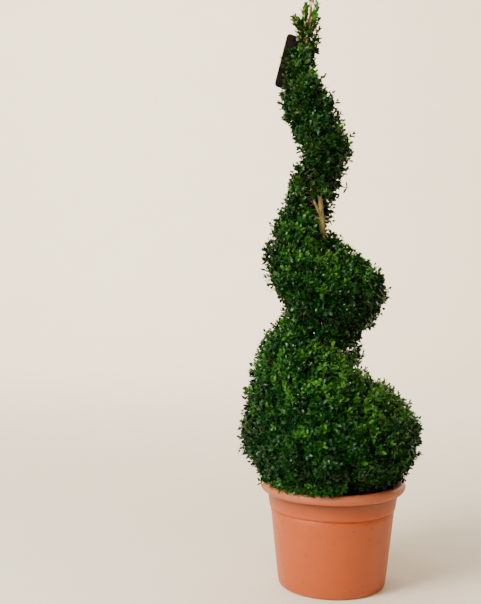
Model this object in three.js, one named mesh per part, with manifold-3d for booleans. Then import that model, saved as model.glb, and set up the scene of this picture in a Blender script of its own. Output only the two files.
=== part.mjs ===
// A clipped box spiral in its round plastic pot: pot, compost, one leaning trunk with short boughs,
// and a ramp of dense foliage that winds left-handed round the trunk, from a wide base to a thin tip.
// Millimetres, +Z up. The origin is the centre of the pot's flat underside, and -Y is the front.

import * as THREE from "three";
import { mergeVertices } from "three/addons/utils/BufferGeometryUtils.js";
import Module from "manifold-3d";

const wasm = await Module();
wasm.setup();

// The pot
const POT_HEIGHT = 293;
const RIM_RADIUS = 200;
const ROLL_RADIUS = 14;
const ROLL_NECK = 250;
const ROLL_NECK_STEP = 1;
const ROLL_UNDERSIDE = 0.8;
const ROLL_FROM = -105;
const ROLL_TO = 115;
const FOOT_RADIUS = 148;
const FOOT_ROUNDING = 9;
const BAND_BOTTOM = 218;
const BAND_BOTTOM_RADIUS = 171;
const BAND_STEP = 2;
const BAND_PROUD = 2.5;
const BAND_TOP_RADIUS = 178;
const WALL = 4;
const FLOOR = 5;
const POT_SIDES = 40;
const ARC_STEPS = 4;
const DRAIN_HOLES = 6;
const DRAIN_RADIUS = 8;
const DRAIN_CIRCLE = 100;
const DRAIN_SIDES = 12;

// The compost
const SOIL_TOP = 270;
const SOIL_EDGE_DROP = 6;
const SOIL_CROWN_RADIUS = 60;
const SOIL_SHOULDER = 0.6;
const SOIL_SHOULDER_DROP = 0.4;

// Neighbours that touch on the real plant keep this gap
const GAP = 0.3;

// The trunk's axis, from the compost to the tip
const TRUNK_PATH = [
  { z: 270, x: 0, y: 0 },
  { z: 600, x: -15, y: 6 },
  { z: 1005, x: -37, y: -8 },
  { z: 1250, x: -66, y: 2 },
  { z: 1450, x: -88, y: -3 },
  { z: 1515, x: -85, y: 0 },
  { z: 1575, x: -70, y: 2 },
];
const TRUNK_FOOT_RADIUS = 14;
const TRUNK_TIP_RADIUS = 1.8;
const TRUNK_TAPER_POWER = 0.85;
const ROOT_FLARE = 11;
const ROOT_FLARE_HEIGHT = 22;
const TRUNK_SIDES = 10;
const TRUNK_STEP = 50;
const TRUNK_LAST_STEP = 20;
const FLARE_LEVELS = [8, 20, 42];

// The helical groove's stations. A whole turn is on the right side, and a half turn on the left. z and
// floor are the groove's height and its radius from the trunk, and flat is half the height of its flat
// floor. The foliage above it is widest at the share "share" of the way up to the next groove, and
// crest is its radius there.
const STATIONS = [
  { turn: -0.5, z: 480, flat: 0, floor: 243, share: 0.02, crest: 244 },
  { turn: 0, z: 648, flat: 45, floor: 92, share: 0.5, crest: 174 },
  { turn: 0.5, z: 778, flat: 0, floor: 112, share: 0.27, crest: 167 },
  { turn: 1, z: 1030, flat: 50, floor: 12, share: 0.48, crest: 95 },
  { turn: 1.25, z: 1018, flat: 44, floor: 14, share: 0.45, crest: 90 },
  { turn: 1.5, z: 1200, flat: 28, floor: 37, share: 0.46, crest: 80 },
  { turn: 2, z: 1440, flat: 0, floor: 15, share: 0.3, crest: 34 },
  { turn: 2.5, z: 1530, flat: 0, floor: 20, share: 0.4, crest: 40 },
  { turn: 3, z: 1600, flat: 0, floor: 8, share: 0.5, crest: 8 },
];
const UNDERSIDE_POWER = 2.4;
const TOPSIDE_POWER = 1.6;
const THINNEST = 8;

// The wide base under the first groove
const BASE_BOTTOM = 296;
const BASE_CREST_Z = 428;
const BASE_CREST = 250;
const BASE_TUCK = 185;
const BASE_TOPSIDE_POWER = 2;

// The spire above the last groove
const SPIRE_TOP = 1600;
const SPIRE_FOOT_RADIUS = 44;
const SPIRE_TIP_RADIUS = 14;

// The dense core of a mass, and the sleeve round the trunk that it leaves free
const CORE_INSET = 23;
const CORE_LIFT = 9;
const CORE_LEAST = 7;
const SLEEVE_SHARE = 0.1;
const SLEEVE_LEAST = 12;
const MASS_GAP = 1.2;
const SPACE_EDGE = 4;
const CORE_STEPS_PER_TURN = 20;
const CORE_STEPS_LEAST = 4;
const CORE_LEVELS = 8;
const SEARCH_STEPS = 20;

// Sprays of leaves, larger than life, that stand out of the core
const SPRAY_SPACING = 78;
const LEAF_LENGTH = 44;
const LEAF_WIDTH = 25;
const LEAF_THICKNESS = 2.8;
const LEAF_ROOT = 9;
const LEAF_TESTED_FROM = 9.5;
const LEAF_TESTS = [0.25, 0.5, 0.75];
const LEAF_SPREADS = [54, 70];
const LEAVES_PER_SPRAY = 2;
const TWIG_RADIUS = 2.8;
const TWIG_TAPER = 0.8;
const TWIG_SUNK = 14;
const TWIG_OUT = 9;
const SPRAY_RISE = 0.3;
const SPRAY_JITTER = 0.35;
const ROW_SAMPLES = 40;
const ROW_STAGGER = 0.2;
const ROW_JITTER = 0.15;
const LEVEL_JITTER = 0.18;
const LEVEL_EDGE = 0.02;
const SLOPE_STEP = 0.01;
const OVERSTEP = 7;
const LIMB_CLEARANCE = 3;

// Limbs that join the masses to the trunk
const LIMB_SIDES = 6;
const STEM_SHARE = 0.62;
const STEM_RISE = 0.45;
const STEM_REACH = 16;
const BOUGH_TIP = 0.75;

// The twig that winds up the spire
const RIB_FROM = 1.8;
const RIB_TO = 2.3;
const RIB_FOOT = 1372;
const RIB_TOP = 1570;
const RIB_CLEARANCE = 9;
const RIB_STEPS = 22;
const RIB_TAPER = 0.6;
const RIB_STEM_DROP = 12;
const RIB_STEM_SHARE = 0.03;
const SPIRE_SPRAYS = 24;
const SPIRE_SWING = 105;
const SPIRE_LEAF_SCALE = 0.7;
const SPIRE_TIP_SCALE = 0.8;
const SPIRE_RISE = 0.9;
const SPIRE_RISE_JITTER = 0.5;
const SPIRE_TWIG_OUT = 0.2;

// The plain label that hangs near the tip
const LABEL_WIDTH = 56;
const LABEL_LENGTH = 148;
const LABEL_THICKNESS = 1.6;
const LABEL_CORNER = 10;
const LABEL_CORNER_STEPS = 4;
const LABEL_MIDDLE = new THREE.Vector3(-127, 8, 1428);
const LABEL_TURN = -20;
const LABEL_LEAN = 15;
const STRAP_WIDTH = 9;
const STRAP_Z = 1498;
const STRAP_WALL = 1.8;
const STRAP_SLACK = 1.3;
const STRAP_SIDES = 16;
const LABEL_CLEARANCE = 3;

// Seeds of the random rows, the steepest z of a direction that still takes +Z as its side, and the
// distance at which points are welded
const FIRST_SEED = 11;
const SPIRE_SEED = 81;
const STEEP = 0.9;
const WELD = 1e-4;

const UP = new THREE.Vector3(0, 0, 1);
const FULL_TURN = 2 * Math.PI;
const radians = THREE.MathUtils.degToRad;
const lerp = THREE.MathUtils.lerp;
const clamp = THREE.MathUtils.clamp;

const FINISH = {
  pot: { color: "#c8764f", roughness: 0.5, metalness: 0 },
  compost: { color: "#2e221b", roughness: 1, metalness: 0 },
  bark: { color: "#9a8560", roughness: 0.85, metalness: 0 },
  foliage: { color: "#2f5c1e", roughness: 0.45, metalness: 0 },
  label: { color: "#2b2d27", roughness: 0.5, metalness: 0 },
};

// A closed geometry as a solid for joining and cutting
function solidOf(geometry) {
  const bare = geometry.clone();
  bare.deleteAttribute("normal");
  bare.deleteAttribute("uv");
  const merged = mergeVertices(bare, WELD);
  return new wasm.Manifold(
    new wasm.Mesh({
      numProp: 3,
      vertProperties: new Float32Array(merged.attributes.position.array),
      triVerts: new Uint32Array(merged.index.array),
    }),
  );
}

// A joined or cut solid as a geometry again. A loose scrap that the joining left behind is dropped.
function geometryOf(solid) {
  const mesh = solid.getMesh();
  const geometry = new THREE.BufferGeometry();
  geometry.setAttribute("position", new THREE.BufferAttribute(mesh.vertProperties, 3));
  geometry.setIndex(largestPiece(mesh.triVerts, mesh.vertProperties.length / 3));
  geometry.computeVertexNormals();
  return geometry;
}

// The corners of the triangles in the piece that has most of them
function largestPiece(corners, pointCount) {
  const parent = Array.from({ length: pointCount }, (_, i) => i);
  const root = (i) => {
    while (parent[i] !== i) i = parent[i] = parent[parent[i]];
    return i;
  };
  for (let i = 0; i < corners.length; i += 3) {
    parent[root(corners[i + 1])] = root(corners[i]);
    parent[root(corners[i + 2])] = root(corners[i]);
  }
  const sizes = new Map();
  for (const corner of corners) sizes.set(root(corner), (sizes.get(root(corner)) ?? 0) + 1);
  const [largest] = [...sizes].reduce((best, entry) => (entry[1] > best[1] ? entry : best));
  return [...corners].filter((corner) => root(corner) === largest);
}

// A closed skin over rows of points. Each row is a loop that runs anticlockwise as seen from the last
// row, and the two end rows are closed by a fan round their middle point.
function skin(rows) {
  const count = rows[0].length;
  const points = rows.flat();
  const faces = [];
  const at = (row, i) => row * count + (i % count);
  for (let row = 0; row + 1 < rows.length; row++) {
    for (let i = 0; i < count; i++) {
      faces.push(at(row, i), at(row, i + 1), at(row + 1, i + 1));
      faces.push(at(row, i), at(row + 1, i + 1), at(row + 1, i));
    }
  }
  for (const row of [0, rows.length - 1]) {
    const middle = new THREE.Vector3();
    rows[row].forEach((point) => middle.addScaledVector(point, 1 / count));
    const centre = points.push(middle) - 1;
    for (let i = 0; i < count; i++) {
      const edge = row === 0 ? [at(row, i + 1), at(row, i)] : [at(row, i), at(row, i + 1)];
      faces.push(centre, ...edge);
    }
  }
  const geometry = new THREE.BufferGeometry().setFromPoints(points);
  geometry.setIndex(faces);
  return geometry;
}

// A ring of points round a centre, at right angles to a direction
function ringAt(centre, direction, radius, sides) {
  const side = Math.abs(direction.z) > STEEP ? new THREE.Vector3(1, 0, 0) : UP.clone();
  const u = side.cross(direction).normalize();
  const v = direction.clone().cross(u).normalize();
  return Array.from({ length: sides }, (_, i) => {
    const angle = (i / sides) * FULL_TURN;
    const offset = u.clone().multiplyScalar(Math.cos(angle)).addScaledVector(v, Math.sin(angle));
    return centre.clone().addScaledVector(offset, radius);
  });
}

// A straight tapering limb between two points
function limb(start, end, startRadius, endRadius, sides) {
  const direction = end.clone().sub(start).normalize();
  return skin([ringAt(start, direction, startRadius, sides), ringAt(end, direction, endRadius, sides)]);
}

// A seeded row of numbers from -1 to 1, so that each run grows the same plant
function seeded(seed) {
  let state = seed;
  return () => {
    state = (state + 0x6d2b79f5) | 0;
    let mixed = Math.imul(state ^ (state >>> 15), 1 | state);
    mixed = (mixed + Math.imul(mixed ^ (mixed >>> 7), 61 | mixed)) ^ mixed;
    return ((mixed ^ (mixed >>> 14)) >>> 0) / 2 ** 31 - 1;
  };
}

// A smooth curve through one figure of a list of rows, at a place counted in rows
function smoothBetween(rows, key, place) {
  const index = clamp(Math.floor(place), 0, rows.length - 2);
  const share = place - index;
  const at = (i) => rows[clamp(i, 0, rows.length - 1)][key];
  const [a, b, c, d] = [at(index - 1), at(index), at(index + 1), at(index + 2)];
  const cubic = 3 * (b - c) + d - a;
  const square = 2 * a - 5 * b + 4 * c - d;
  return b + 0.5 * share * (c - a + share * (square + share * cubic));
}

// Where a value lies among the rising values under a key, counted in rows
function placeAmong(rows, key, value) {
  const last = rows.length - 2;
  const index = rows.findIndex((row, i) => i >= last || value < rows[i + 1][key]);
  const [low, high] = [rows[index][key], rows[index + 1][key]];
  return index + clamp((value - low) / (high - low), 0, 1);
}

// Where the trunk's axis is at a height
function trunkAxis(z) {
  const place = placeAmong(TRUNK_PATH, "z", z);
  const x = smoothBetween(TRUNK_PATH, "x", place);
  return new THREE.Vector3(x, smoothBetween(TRUNK_PATH, "y", place), z);
}

function trunkRadius(z) {
  const top = TRUNK_PATH.at(-1).z;
  const share = clamp((z - SOIL_TOP) / (top - SOIL_TOP), 0, 1);
  const flare = ROOT_FLARE * Math.exp(-(z - SOIL_TOP) / ROOT_FLARE_HEIGHT);
  return lerp(TRUNK_FOOT_RADIUS, TRUNK_TIP_RADIUS, share ** TRUNK_TAPER_POWER) + flare;
}

// The trunk, or with grow the room that it needs
function trunkSkin(grow) {
  const bottom = SOIL_TOP + GAP;
  const top = TRUNK_PATH.at(-1).z;
  const heights = [bottom - grow, ...FLARE_LEVELS.map((level) => bottom + level)];
  for (let z = heights.at(-1) + TRUNK_STEP; z < top - TRUNK_LAST_STEP; z += TRUNK_STEP) heights.push(z);
  heights.push(top + grow);
  return skin(heights.map((z) => ringAt(trunkAxis(z), UP, trunkRadius(z) + grow, TRUNK_SIDES)));
}

// The groove's figures at any turn, between its stations
function grooveAt(turn) {
  const place = placeAmong(STATIONS, "turn", turn);
  const figure = (key) => smoothBetween(STATIONS, key, place);
  const flat = Math.max(figure("flat"), 0);
  return {
    z: figure("z"),
    below: figure("z") - flat,
    above: figure("z") + flat,
    floor: Math.max(figure("floor"), THINNEST),
    share: figure("share"),
    crest: Math.max(figure("crest"), THINNEST),
  };
}

// The radius of a bulge that runs from one floor over a crest to the next floor
function bulge(z, low, crest, high, topsidePower = TOPSIDE_POWER) {
  const edge = z < crest.z ? low : high;
  const power = z < crest.z ? UNDERSIDE_POWER : topsidePower;
  const off = clamp(Math.abs(z - crest.z) / Math.max(Math.abs(edge.z - crest.z), 1), 0, 1);
  return edge.r + (crest.r - edge.r) * (1 - off ** power);
}

// Three forms, each with the heights between which it lies at a turn, its widest height, and its
// radius from the trunk at a turn and a height
const base = {
  limits: (turn) => [BASE_BOTTOM, grooveAt(turn).z],
  widest: () => BASE_CREST_Z,
  radius: (turn, z) => {
    const crest = { z: BASE_CREST_Z, r: BASE_CREST };
    if (z < crest.z) return crest.r * Math.sqrt(1 - ((crest.z - z) / BASE_TUCK) ** 2);
    const high = grooveAt(turn);
    return bulge(z, crest, crest, { z: high.below, r: high.floor }, BASE_TOPSIDE_POWER);
  },
};
const ramp = {
  limits: (turn) => [grooveAt(turn).z, grooveAt(turn + 1).z],
  widest: (turn) => lerp(...ramp.limits(turn), grooveAt(turn).share),
  radius: (turn, z) => {
    const [low, high] = [grooveAt(turn), grooveAt(turn + 1)];
    const crest = { z: ramp.widest(turn), r: low.crest };
    return bulge(z, { z: low.above, r: low.floor }, crest, { z: high.below, r: high.floor });
  },
};
const spire = {
  limits: (turn) => [grooveAt(turn).z, SPIRE_TOP],
  radius: (turn, z) => {
    const low = grooveAt(RIB_FROM).z;
    return lerp(SPIRE_FOOT_RADIUS, SPIRE_TIP_RADIUS, clamp((z - low) / (SPIRE_TOP - low), 0, 1));
  },
};

// The masses, bottom first. Each covers the turns from "from" to "to". Its stem leaves the trunk at
// the turn stemTurn and the height stemZ.
const MASSES = [
  { name: "base_foliage_back", form: base, from: -0.5, to: -0.25, stemTurn: -0.37, stemZ: 380 },
  { name: "base_foliage_right", form: base, from: -0.25, to: 0, stemTurn: -0.1, stemZ: 395 },
  { name: "base_foliage_front", form: base, from: 0, to: 0.25, stemTurn: 0.12, stemZ: 372 },
  { name: "base_foliage_left", form: base, from: 0.25, to: 0.5, stemTurn: 0.37, stemZ: 410 },
  { name: "first_turn_foliage_back", form: ramp, from: -0.5, to: 0, stemTurn: -0.25, stemZ: 650 },
  { name: "first_turn_foliage_front", form: ramp, from: 0, to: 0.5, stemTurn: 0.25, stemZ: 830 },
  { name: "second_turn_foliage_back", form: ramp, from: 0.5, to: 1, stemTurn: 0.75, stemZ: 990 },
  { name: "second_turn_foliage_front", form: ramp, from: 1, to: 1.5, stemTurn: 1.3, stemZ: 1175 },
  { name: "third_turn_foliage_back", form: ramp, from: 1.5, to: 1.72, stemTurn: 1.6, stemZ: 1300 },
];
const SPIRE = { name: "spire_foliage", form: spire, from: 1.72, to: 2.72 };

// The boughs that show, each with the mass whose stem it carries. A bough leaves the trunk at the
// height z towards a turn, and its tip is "reach" from the trunk's axis and "rise" above its start.
const BOUGHS = [
  { name: "foot_bough", mass: "base_foliage_front",
    z: 302, turn: 0.14, reach: 34, rise: 30, radius: 6 },
  { name: "fork_bough", mass: "second_turn_foliage_front",
    z: 1012, turn: 1.36, reach: 40, rise: 46, radius: 4 },
  { name: "low_fork_bough", mass: "second_turn_foliage_back",
    z: 1006, turn: 0.55, reach: 20, rise: 9, radius: 4 },
];

// A point at a turn, a radius from the trunk's axis and a height. Turn 0 is the right side, and turns
// run right, front, left and back.
function pointAt(turn, radius, z) {
  const angle = -turn * FULL_TURN;
  return trunkAxis(z).add(new THREE.Vector3(radius * Math.cos(angle), radius * Math.sin(angle), 0));
}

// The radius of the free sleeve round the trunk
function sleeveAt(outline, z) {
  return Math.max(SLEEVE_LEAST, SLEEVE_SHARE * outline + trunkRadius(z));
}

// The core's outer radius, and whether the core has room there
function coreRadius(form, turn, z) {
  return form.radius(turn, z) - CORE_INSET;
}

function coreFits(form, turn, z) {
  return coreRadius(form, turn, z) > sleeveAt(form.radius(turn, z), z) + CORE_LEAST;
}

// The heights between which the core lies at a turn
function coreLimits(form, turn) {
  const [bottom, top] = form.limits(turn);
  const search = (edge) => {
    let [good, bad] = [form.widest(turn), edge];
    if (coreFits(form, turn, edge)) return edge;
    for (let i = 0; i < SEARCH_STEPS; i++) {
      const half = (good + bad) / 2;
      if (coreFits(form, turn, half)) good = half;
      else bad = half;
    }
    return good;
  };
  return [search(bottom + CORE_LIFT), search(top - CORE_LIFT)];
}

// The height of a core level, closer together near the two edges
function levelHeight(form, turn, share) {
  const [bottom, top] = coreLimits(form, turn);
  return lerp(bottom, top, (1 - Math.cos(share * Math.PI)) / 2);
}

// The dense core of a mass, which ends a little short of the planes that part it from its neighbours
function coreSolid(mass) {
  const { form, from, to } = mass;
  const steps = Math.max(CORE_STEPS_LEAST, Math.round((to - from) * CORE_STEPS_PER_TURN));
  const rows = [];
  for (let i = 0; i <= steps; i++) {
    const inner = [];
    const outer = [];
    const turn = lerp(from, to, i / steps);
    for (let j = 0; j <= CORE_LEVELS; j++) {
      const z = levelHeight(form, turn, j / CORE_LEVELS);
      outer.push(pointAt(turn, coreRadius(form, turn, z), z));
      inner.push(pointAt(turn, sleeveAt(form.radius(turn, z), z), z));
    }
    rows.push([...outer, ...inner.reverse()]);
  }
  let solid = solidOf(skin(rows));
  for (const turn of [from, to]) solid = solid.subtract(partingSlab(form, turn));
  for (const bough of BOUGHS) {
    solid = solid.subtract(solidOf(boughSkin(bough, LIMB_CLEARANCE)));
    const other = MASSES.find((row) => row.name === bough.mass);
    if (other !== mass) solid = solid.subtract(solidOf(stemSkin(other, LIMB_CLEARANCE)));
  }
  return solid.subtract(solidOf(labelRoom())).subtract(solidOf(strapRoom()));
}

// A thin slab on the outward half of the plane between two masses
function partingSlab(form, turn) {
  const [bottom, top] = form.limits(turn);
  const reach = 2 * BASE_CREST;
  const slab = new THREE.BoxGeometry(reach, MASS_GAP, top - bottom + 2 * LEAF_LENGTH);
  slab.translate(reach / 2, 0, 0);
  slab.rotateZ(-turn * FULL_TURN);
  const middle = trunkAxis((bottom + top) / 2);
  const lean = trunkAxis(top).sub(trunkAxis(bottom)).divideScalar(top - bottom);
  slab.applyMatrix4(new THREE.Matrix4().makeShear(0, 0, 0, 0, lean.x, lean.y));
  slab.translate(middle.x, middle.y, middle.z);
  return solidOf(slab);
}

// The room that a spray may not enter: each entry gives a point's distance from a limb or the label
const obstacles = [];

function distanceToLine(point, start, end) {
  const nearest = new THREE.Line3(start, end).closestPointToPoint(point, true, new THREE.Vector3());
  return nearest.distanceTo(point);
}

function isFree(point, clearance) {
  const z = clamp(point.z, SOIL_TOP, TRUNK_PATH.at(-1).z);
  if (point.distanceTo(trunkAxis(z)) < trunkRadius(z) + clearance) return false;
  return obstacles.every((distance) => distance(point) > clearance);
}

// Whether a point lies in a mass's own space
function isInSpace(mass, point) {
  const out = point.clone().sub(trunkAxis(point.z)).setZ(0);
  const radius = out.length();
  const plain = -Math.atan2(out.y, out.x) / FULL_TURN;
  const turn = plain + Math.ceil(mass.from - plain);
  if (turn > mass.to) return false;
  const [bottom, top] = mass.form.limits(turn);
  if (point.z < bottom + SPACE_EDGE || point.z > top - SPACE_EDGE) return false;
  if (radius > mass.form.radius(turn, point.z) + OVERSTEP) return false;
  const edge = Math.min(turn - mass.from, mass.to - turn) * FULL_TURN;
  return edge > Math.PI / 2 || radius * Math.sin(edge) > SPACE_EDGE / 2;
}

function isAllowed(mass, points) {
  return points.every((point) => isInSpace(mass, point) && isFree(point, LIMB_CLEARANCE));
}

// A leaf: eight faces, broadest in the middle, along a direction from its root
function leafGeometry(root, direction, across, scale) {
  const length = LEAF_LENGTH * scale;
  const leaf = new THREE.OctahedronGeometry(1);
  leaf.scale(length / 2, (LEAF_WIDTH * scale) / 2, LEAF_THICKNESS / 2);
  leaf.translate(length / 2 - LEAF_ROOT * scale, 0, 0);
  const side = across.clone().addScaledVector(direction, -across.dot(direction)).normalize();
  const face = direction.clone().cross(side);
  return leaf.applyMatrix4(new THREE.Matrix4().makeBasis(direction, side, face).setPosition(root));
}

// The points of a leaf that are tested: its corners outside its root, and places between them all
function leafPoints(leaf, root) {
  const position = leaf.attributes.position;
  const corners = Array.from({ length: position.count }, (_, i) => {
    return new THREE.Vector3().fromBufferAttribute(position, i);
  });
  const far = corners.filter((corner) => corner.distanceTo(root) > LEAF_TESTED_FROM);
  const ends = [root, ...far];
  const between = (a, b) => LEAF_TESTS.map((share) => a.clone().lerp(b, share));
  return [...far, ...far.flatMap((a) => ends.flatMap((b) => between(a, b)))];
}

// A spray: a three-sided twig with leaves spread round its end. A leaf that would leave the space or
// touch a limb is laid flatter, or else skipped.
function sprayParts(mass, foot, direction, random, scale) {
  const start = foot.clone().addScaledVector(direction, -TWIG_SUNK * scale);
  const end = foot.clone().addScaledVector(direction, TWIG_OUT * scale);
  const middle = foot.clone().lerp(end, 0.5);
  if (!isAllowed(mass, [start, foot, middle, end])) return [];
  const hinge = new THREE.Vector3(random(), random(), random()).cross(direction).normalize();
  const leaves = [];
  for (let i = 0; i < LEAVES_PER_SPRAY; i++) {
    const leaf = LEAF_SPREADS.map((spread) => {
      const turned = direction.clone().applyAxisAngle(hinge, radians(spread));
      return leafGeometry(end, turned, hinge, scale);
    }).find((geometry) => isAllowed(mass, leafPoints(geometry, end)));
    if (leaf) leaves.push(leaf);
    hinge.applyAxisAngle(direction, FULL_TURN / LEAVES_PER_SPRAY);
  }
  if (leaves.length === 0) return [];
  const radius = TWIG_RADIUS * scale;
  return [limb(start, end, radius, radius * TWIG_TAPER, 3), ...leaves];
}

// Sprays in staggered rows, evenly spaced over a mass's core
function coreSprays(mass, random) {
  const { form, from, to } = mass;
  const surface = (turn, share) => {
    const z = levelHeight(form, turn, share);
    return pointAt(turn, coreRadius(form, turn, z), z);
  };
  const lengths = [0];
  for (let i = 0; i < ROW_SAMPLES; i++) {
    const [a, b] = [i, i + 1].map((k) => surface((from + to) / 2, k / ROW_SAMPLES));
    lengths.push(lengths.at(-1) + a.distanceTo(b));
  }
  const rows = Math.max(2, Math.round(lengths.at(-1) / SPRAY_SPACING));
  const parts = [];
  for (let row = 0; row < rows; row++) {
    const length = ((row + 0.5) / rows) * lengths.at(-1);
    const share = lengths.findIndex((entry) => entry >= length) / ROW_SAMPLES;
    const middle = surface((from + to) / 2, share);
    const around = (to - from) * FULL_TURN * middle.distanceTo(trunkAxis(middle.z));
    const count = Math.max(2, Math.round(around / SPRAY_SPACING));
    for (let i = 0; i < count; i++) {
      const stagger = 0.5 + (row % 2 ? ROW_STAGGER : -ROW_STAGGER) + ROW_JITTER * random();
      const turn = lerp(from, to, (i + stagger) / count);
      const level = clamp(share + (LEVEL_JITTER * random()) / rows, LEVEL_EDGE, 1 - LEVEL_EDGE);
      const along = surface(turn + SLOPE_STEP, level).sub(surface(turn - SLOPE_STEP, level));
      const upward = surface(turn, level + SLOPE_STEP).sub(surface(turn, level - SLOPE_STEP));
      const lean = new THREE.Vector3(random(), random(), random()).multiplyScalar(SPRAY_JITTER);
      const normal = upward.cross(along).normalize();
      const direction = normal.addScaledVector(UP, SPRAY_RISE).add(lean).normalize();
      parts.push(...sprayParts(mass, surface(turn, level), direction, random, 1));
    }
  }
  return parts;
}

// The two ends of a bough's axis
function boughEnds(row) {
  const start = trunkAxis(row.z);
  const outward = pointAt(row.turn, row.reach, row.z).sub(start);
  return [start, start.clone().add(outward).addScaledVector(UP, row.rise)];
}

// A bough from the trunk's axis to its tip, or with grow the room that it needs
function boughSkin(row, grow) {
  const [start, end] = boughEnds(row);
  const far = end.clone().addScaledVector(end.clone().sub(start).normalize(), grow);
  return limb(start, far, row.radius + grow, row.radius * BOUGH_TIP + grow, LIMB_SIDES);
}

function boughGeometry(row) {
  const [start, end] = boughEnds(row);
  const stem = stemLine(MASSES.find((mass) => mass.name === row.mass));
  obstacles.push((point) => distanceToLine(point, start, end) - row.radius);
  obstacles.push((point) => distanceToLine(point, stem.start, stem.end) - stem.radius);
  return geometryOf(solidOf(boughSkin(row, 0)).subtract(solidOf(trunkSkin(GAP))));
}

// The stem reaches from the trunk, or from the tip of its bough, well into the core
function stemLine(mass) {
  const outline = mass.form.radius(mass.stemTurn, mass.stemZ);
  const reach = sleeveAt(outline, mass.stemZ) + STEM_REACH;
  const end = pointAt(mass.stemTurn, reach, mass.stemZ);
  const bough = BOUGHS.find((row) => row.mass === mass.name);
  if (bough) return { bough, start: boughEnds(bough)[1], end, radius: bough.radius * BOUGH_TIP };
  const start = trunkAxis(mass.stemZ - STEM_RISE * reach);
  return { start, end, radius: STEM_SHARE * trunkRadius(start.z) };
}

function stemSkin(mass, grow) {
  const { start, end, radius } = stemLine(mass);
  return limb(start, end, radius + grow, radius * BOUGH_TIP + grow, LIMB_SIDES);
}

function stemSolid(mass) {
  const { bough } = stemLine(mass);
  const carrier = bough ? boughSkin(bough, GAP) : trunkSkin(GAP);
  return solidOf(stemSkin(mass, 0)).subtract(solidOf(carrier));
}

// A mass: its core, its stem and its sprays in one piece
function massGeometry(mass, seed) {
  let solid = coreSolid(mass).add(stemSolid(mass));
  for (const part of coreSprays(mass, seeded(seed))) solid = solid.add(solidOf(part));
  return geometryOf(solid);
}

// The spire: a twig that winds up round the trunk, with sprays all along it
function spireGeometry(random) {
  const ribPoint = (share) => {
    const z = lerp(RIB_FOOT, RIB_TOP, share);
    return pointAt(lerp(RIB_FROM, RIB_TO, share), trunkRadius(z) + RIB_CLEARANCE, z);
  };
  const rows = Array.from({ length: RIB_STEPS + 1 }, (_, i) => {
    const share = i / RIB_STEPS;
    const direction = ribPoint(share + SLOPE_STEP).sub(ribPoint(share - SLOPE_STEP)).normalize();
    return ringAt(ribPoint(share), direction, TWIG_RADIUS * lerp(1, RIB_TAPER, share), 3);
  });
  const foot = trunkAxis(RIB_FOOT - RIB_STEM_DROP);
  const tip = ribPoint(RIB_STEM_SHARE);
  const stem = limb(foot, tip, trunkRadius(foot.z) * STEM_SHARE, TWIG_RADIUS, LIMB_SIDES);
  let solid = solidOf(skin(rows)).add(solidOf(stem).subtract(solidOf(trunkSkin(GAP))));
  for (let i = 0; i < SPIRE_SPRAYS; i++) {
    const share = (i + 0.5) / SPIRE_SPRAYS;
    const scale = SPIRE_LEAF_SCALE * lerp(1, SPIRE_TIP_SCALE, share);
    const root = ribPoint(share);
    const outward = root.clone().sub(trunkAxis(root.z)).normalize();
    outward.applyAxisAngle(UP, radians(SPIRE_SWING) * random());
    const rise = SPIRE_RISE + SPIRE_RISE_JITTER * random();
    const direction = outward.addScaledVector(UP, rise).normalize();
    const start = root.clone().addScaledVector(direction, TWIG_SUNK * scale * SPIRE_TWIG_OUT);
    for (const part of sprayParts(SPIRE, start, direction, random, scale)) solid = solid.add(solidOf(part));
  }
  return geometryOf(solid);
}

// The pot's wall, as a radius at a height
function potOuterRadius(z) {
  if (z < BAND_BOTTOM) return lerp(FOOT_RADIUS, BAND_BOTTOM_RADIUS, z / BAND_BOTTOM);
  const share = (z - BAND_BOTTOM) / (ROLL_NECK - BAND_BOTTOM);
  return lerp(BAND_BOTTOM_RADIUS + BAND_PROUD, BAND_TOP_RADIUS, share);
}

function potInnerRadius(z) {
  return lerp(FOOT_RADIUS, BAND_BOTTOM_RADIUS, z / BAND_BOTTOM) - WALL;
}

function potGeometry() {
  const roll = new THREE.Vector2(RIM_RADIUS - ROLL_RADIUS, POT_HEIGHT - ROLL_RADIUS);
  const foot = new THREE.Vector2(FOOT_RADIUS - FOOT_ROUNDING, FOOT_ROUNDING);
  const profile = new THREE.Path();
  profile.moveTo(0, 0);
  profile.lineTo(foot.x, 0);
  profile.absarc(foot.x, foot.y, FOOT_ROUNDING, -Math.PI / 2, 0, false);
  profile.lineTo(potOuterRadius(BAND_BOTTOM - BAND_STEP), BAND_BOTTOM - BAND_STEP);
  profile.lineTo(potOuterRadius(BAND_BOTTOM), BAND_BOTTOM);
  profile.lineTo(potOuterRadius(ROLL_NECK), ROLL_NECK);
  profile.lineTo(potOuterRadius(ROLL_NECK) + ROLL_NECK_STEP, roll.y - ROLL_RADIUS * ROLL_UNDERSIDE);
  profile.absarc(roll.x, roll.y, ROLL_RADIUS, radians(ROLL_FROM), radians(ROLL_TO), false);
  profile.lineTo(potInnerRadius(roll.y), roll.y);
  profile.lineTo(potInnerRadius(FLOOR), FLOOR);
  profile.lineTo(0, FLOOR);
  const lathe = new THREE.LatheGeometry(profile.getPoints(ARC_STEPS), POT_SIDES);
  let solid = solidOf(lathe.rotateX(Math.PI / 2));
  for (let i = 0; i < DRAIN_HOLES; i++) {
    const hole = new THREE.CylinderGeometry(DRAIN_RADIUS, DRAIN_RADIUS, 4 * FLOOR, DRAIN_SIDES);
    hole.rotateX(Math.PI / 2);
    hole.translate(DRAIN_CIRCLE, 0, 0);
    hole.rotateZ((i / DRAIN_HOLES) * FULL_TURN);
    solid = solid.subtract(solidOf(hole));
  }
  return geometryOf(solid);
}

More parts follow.
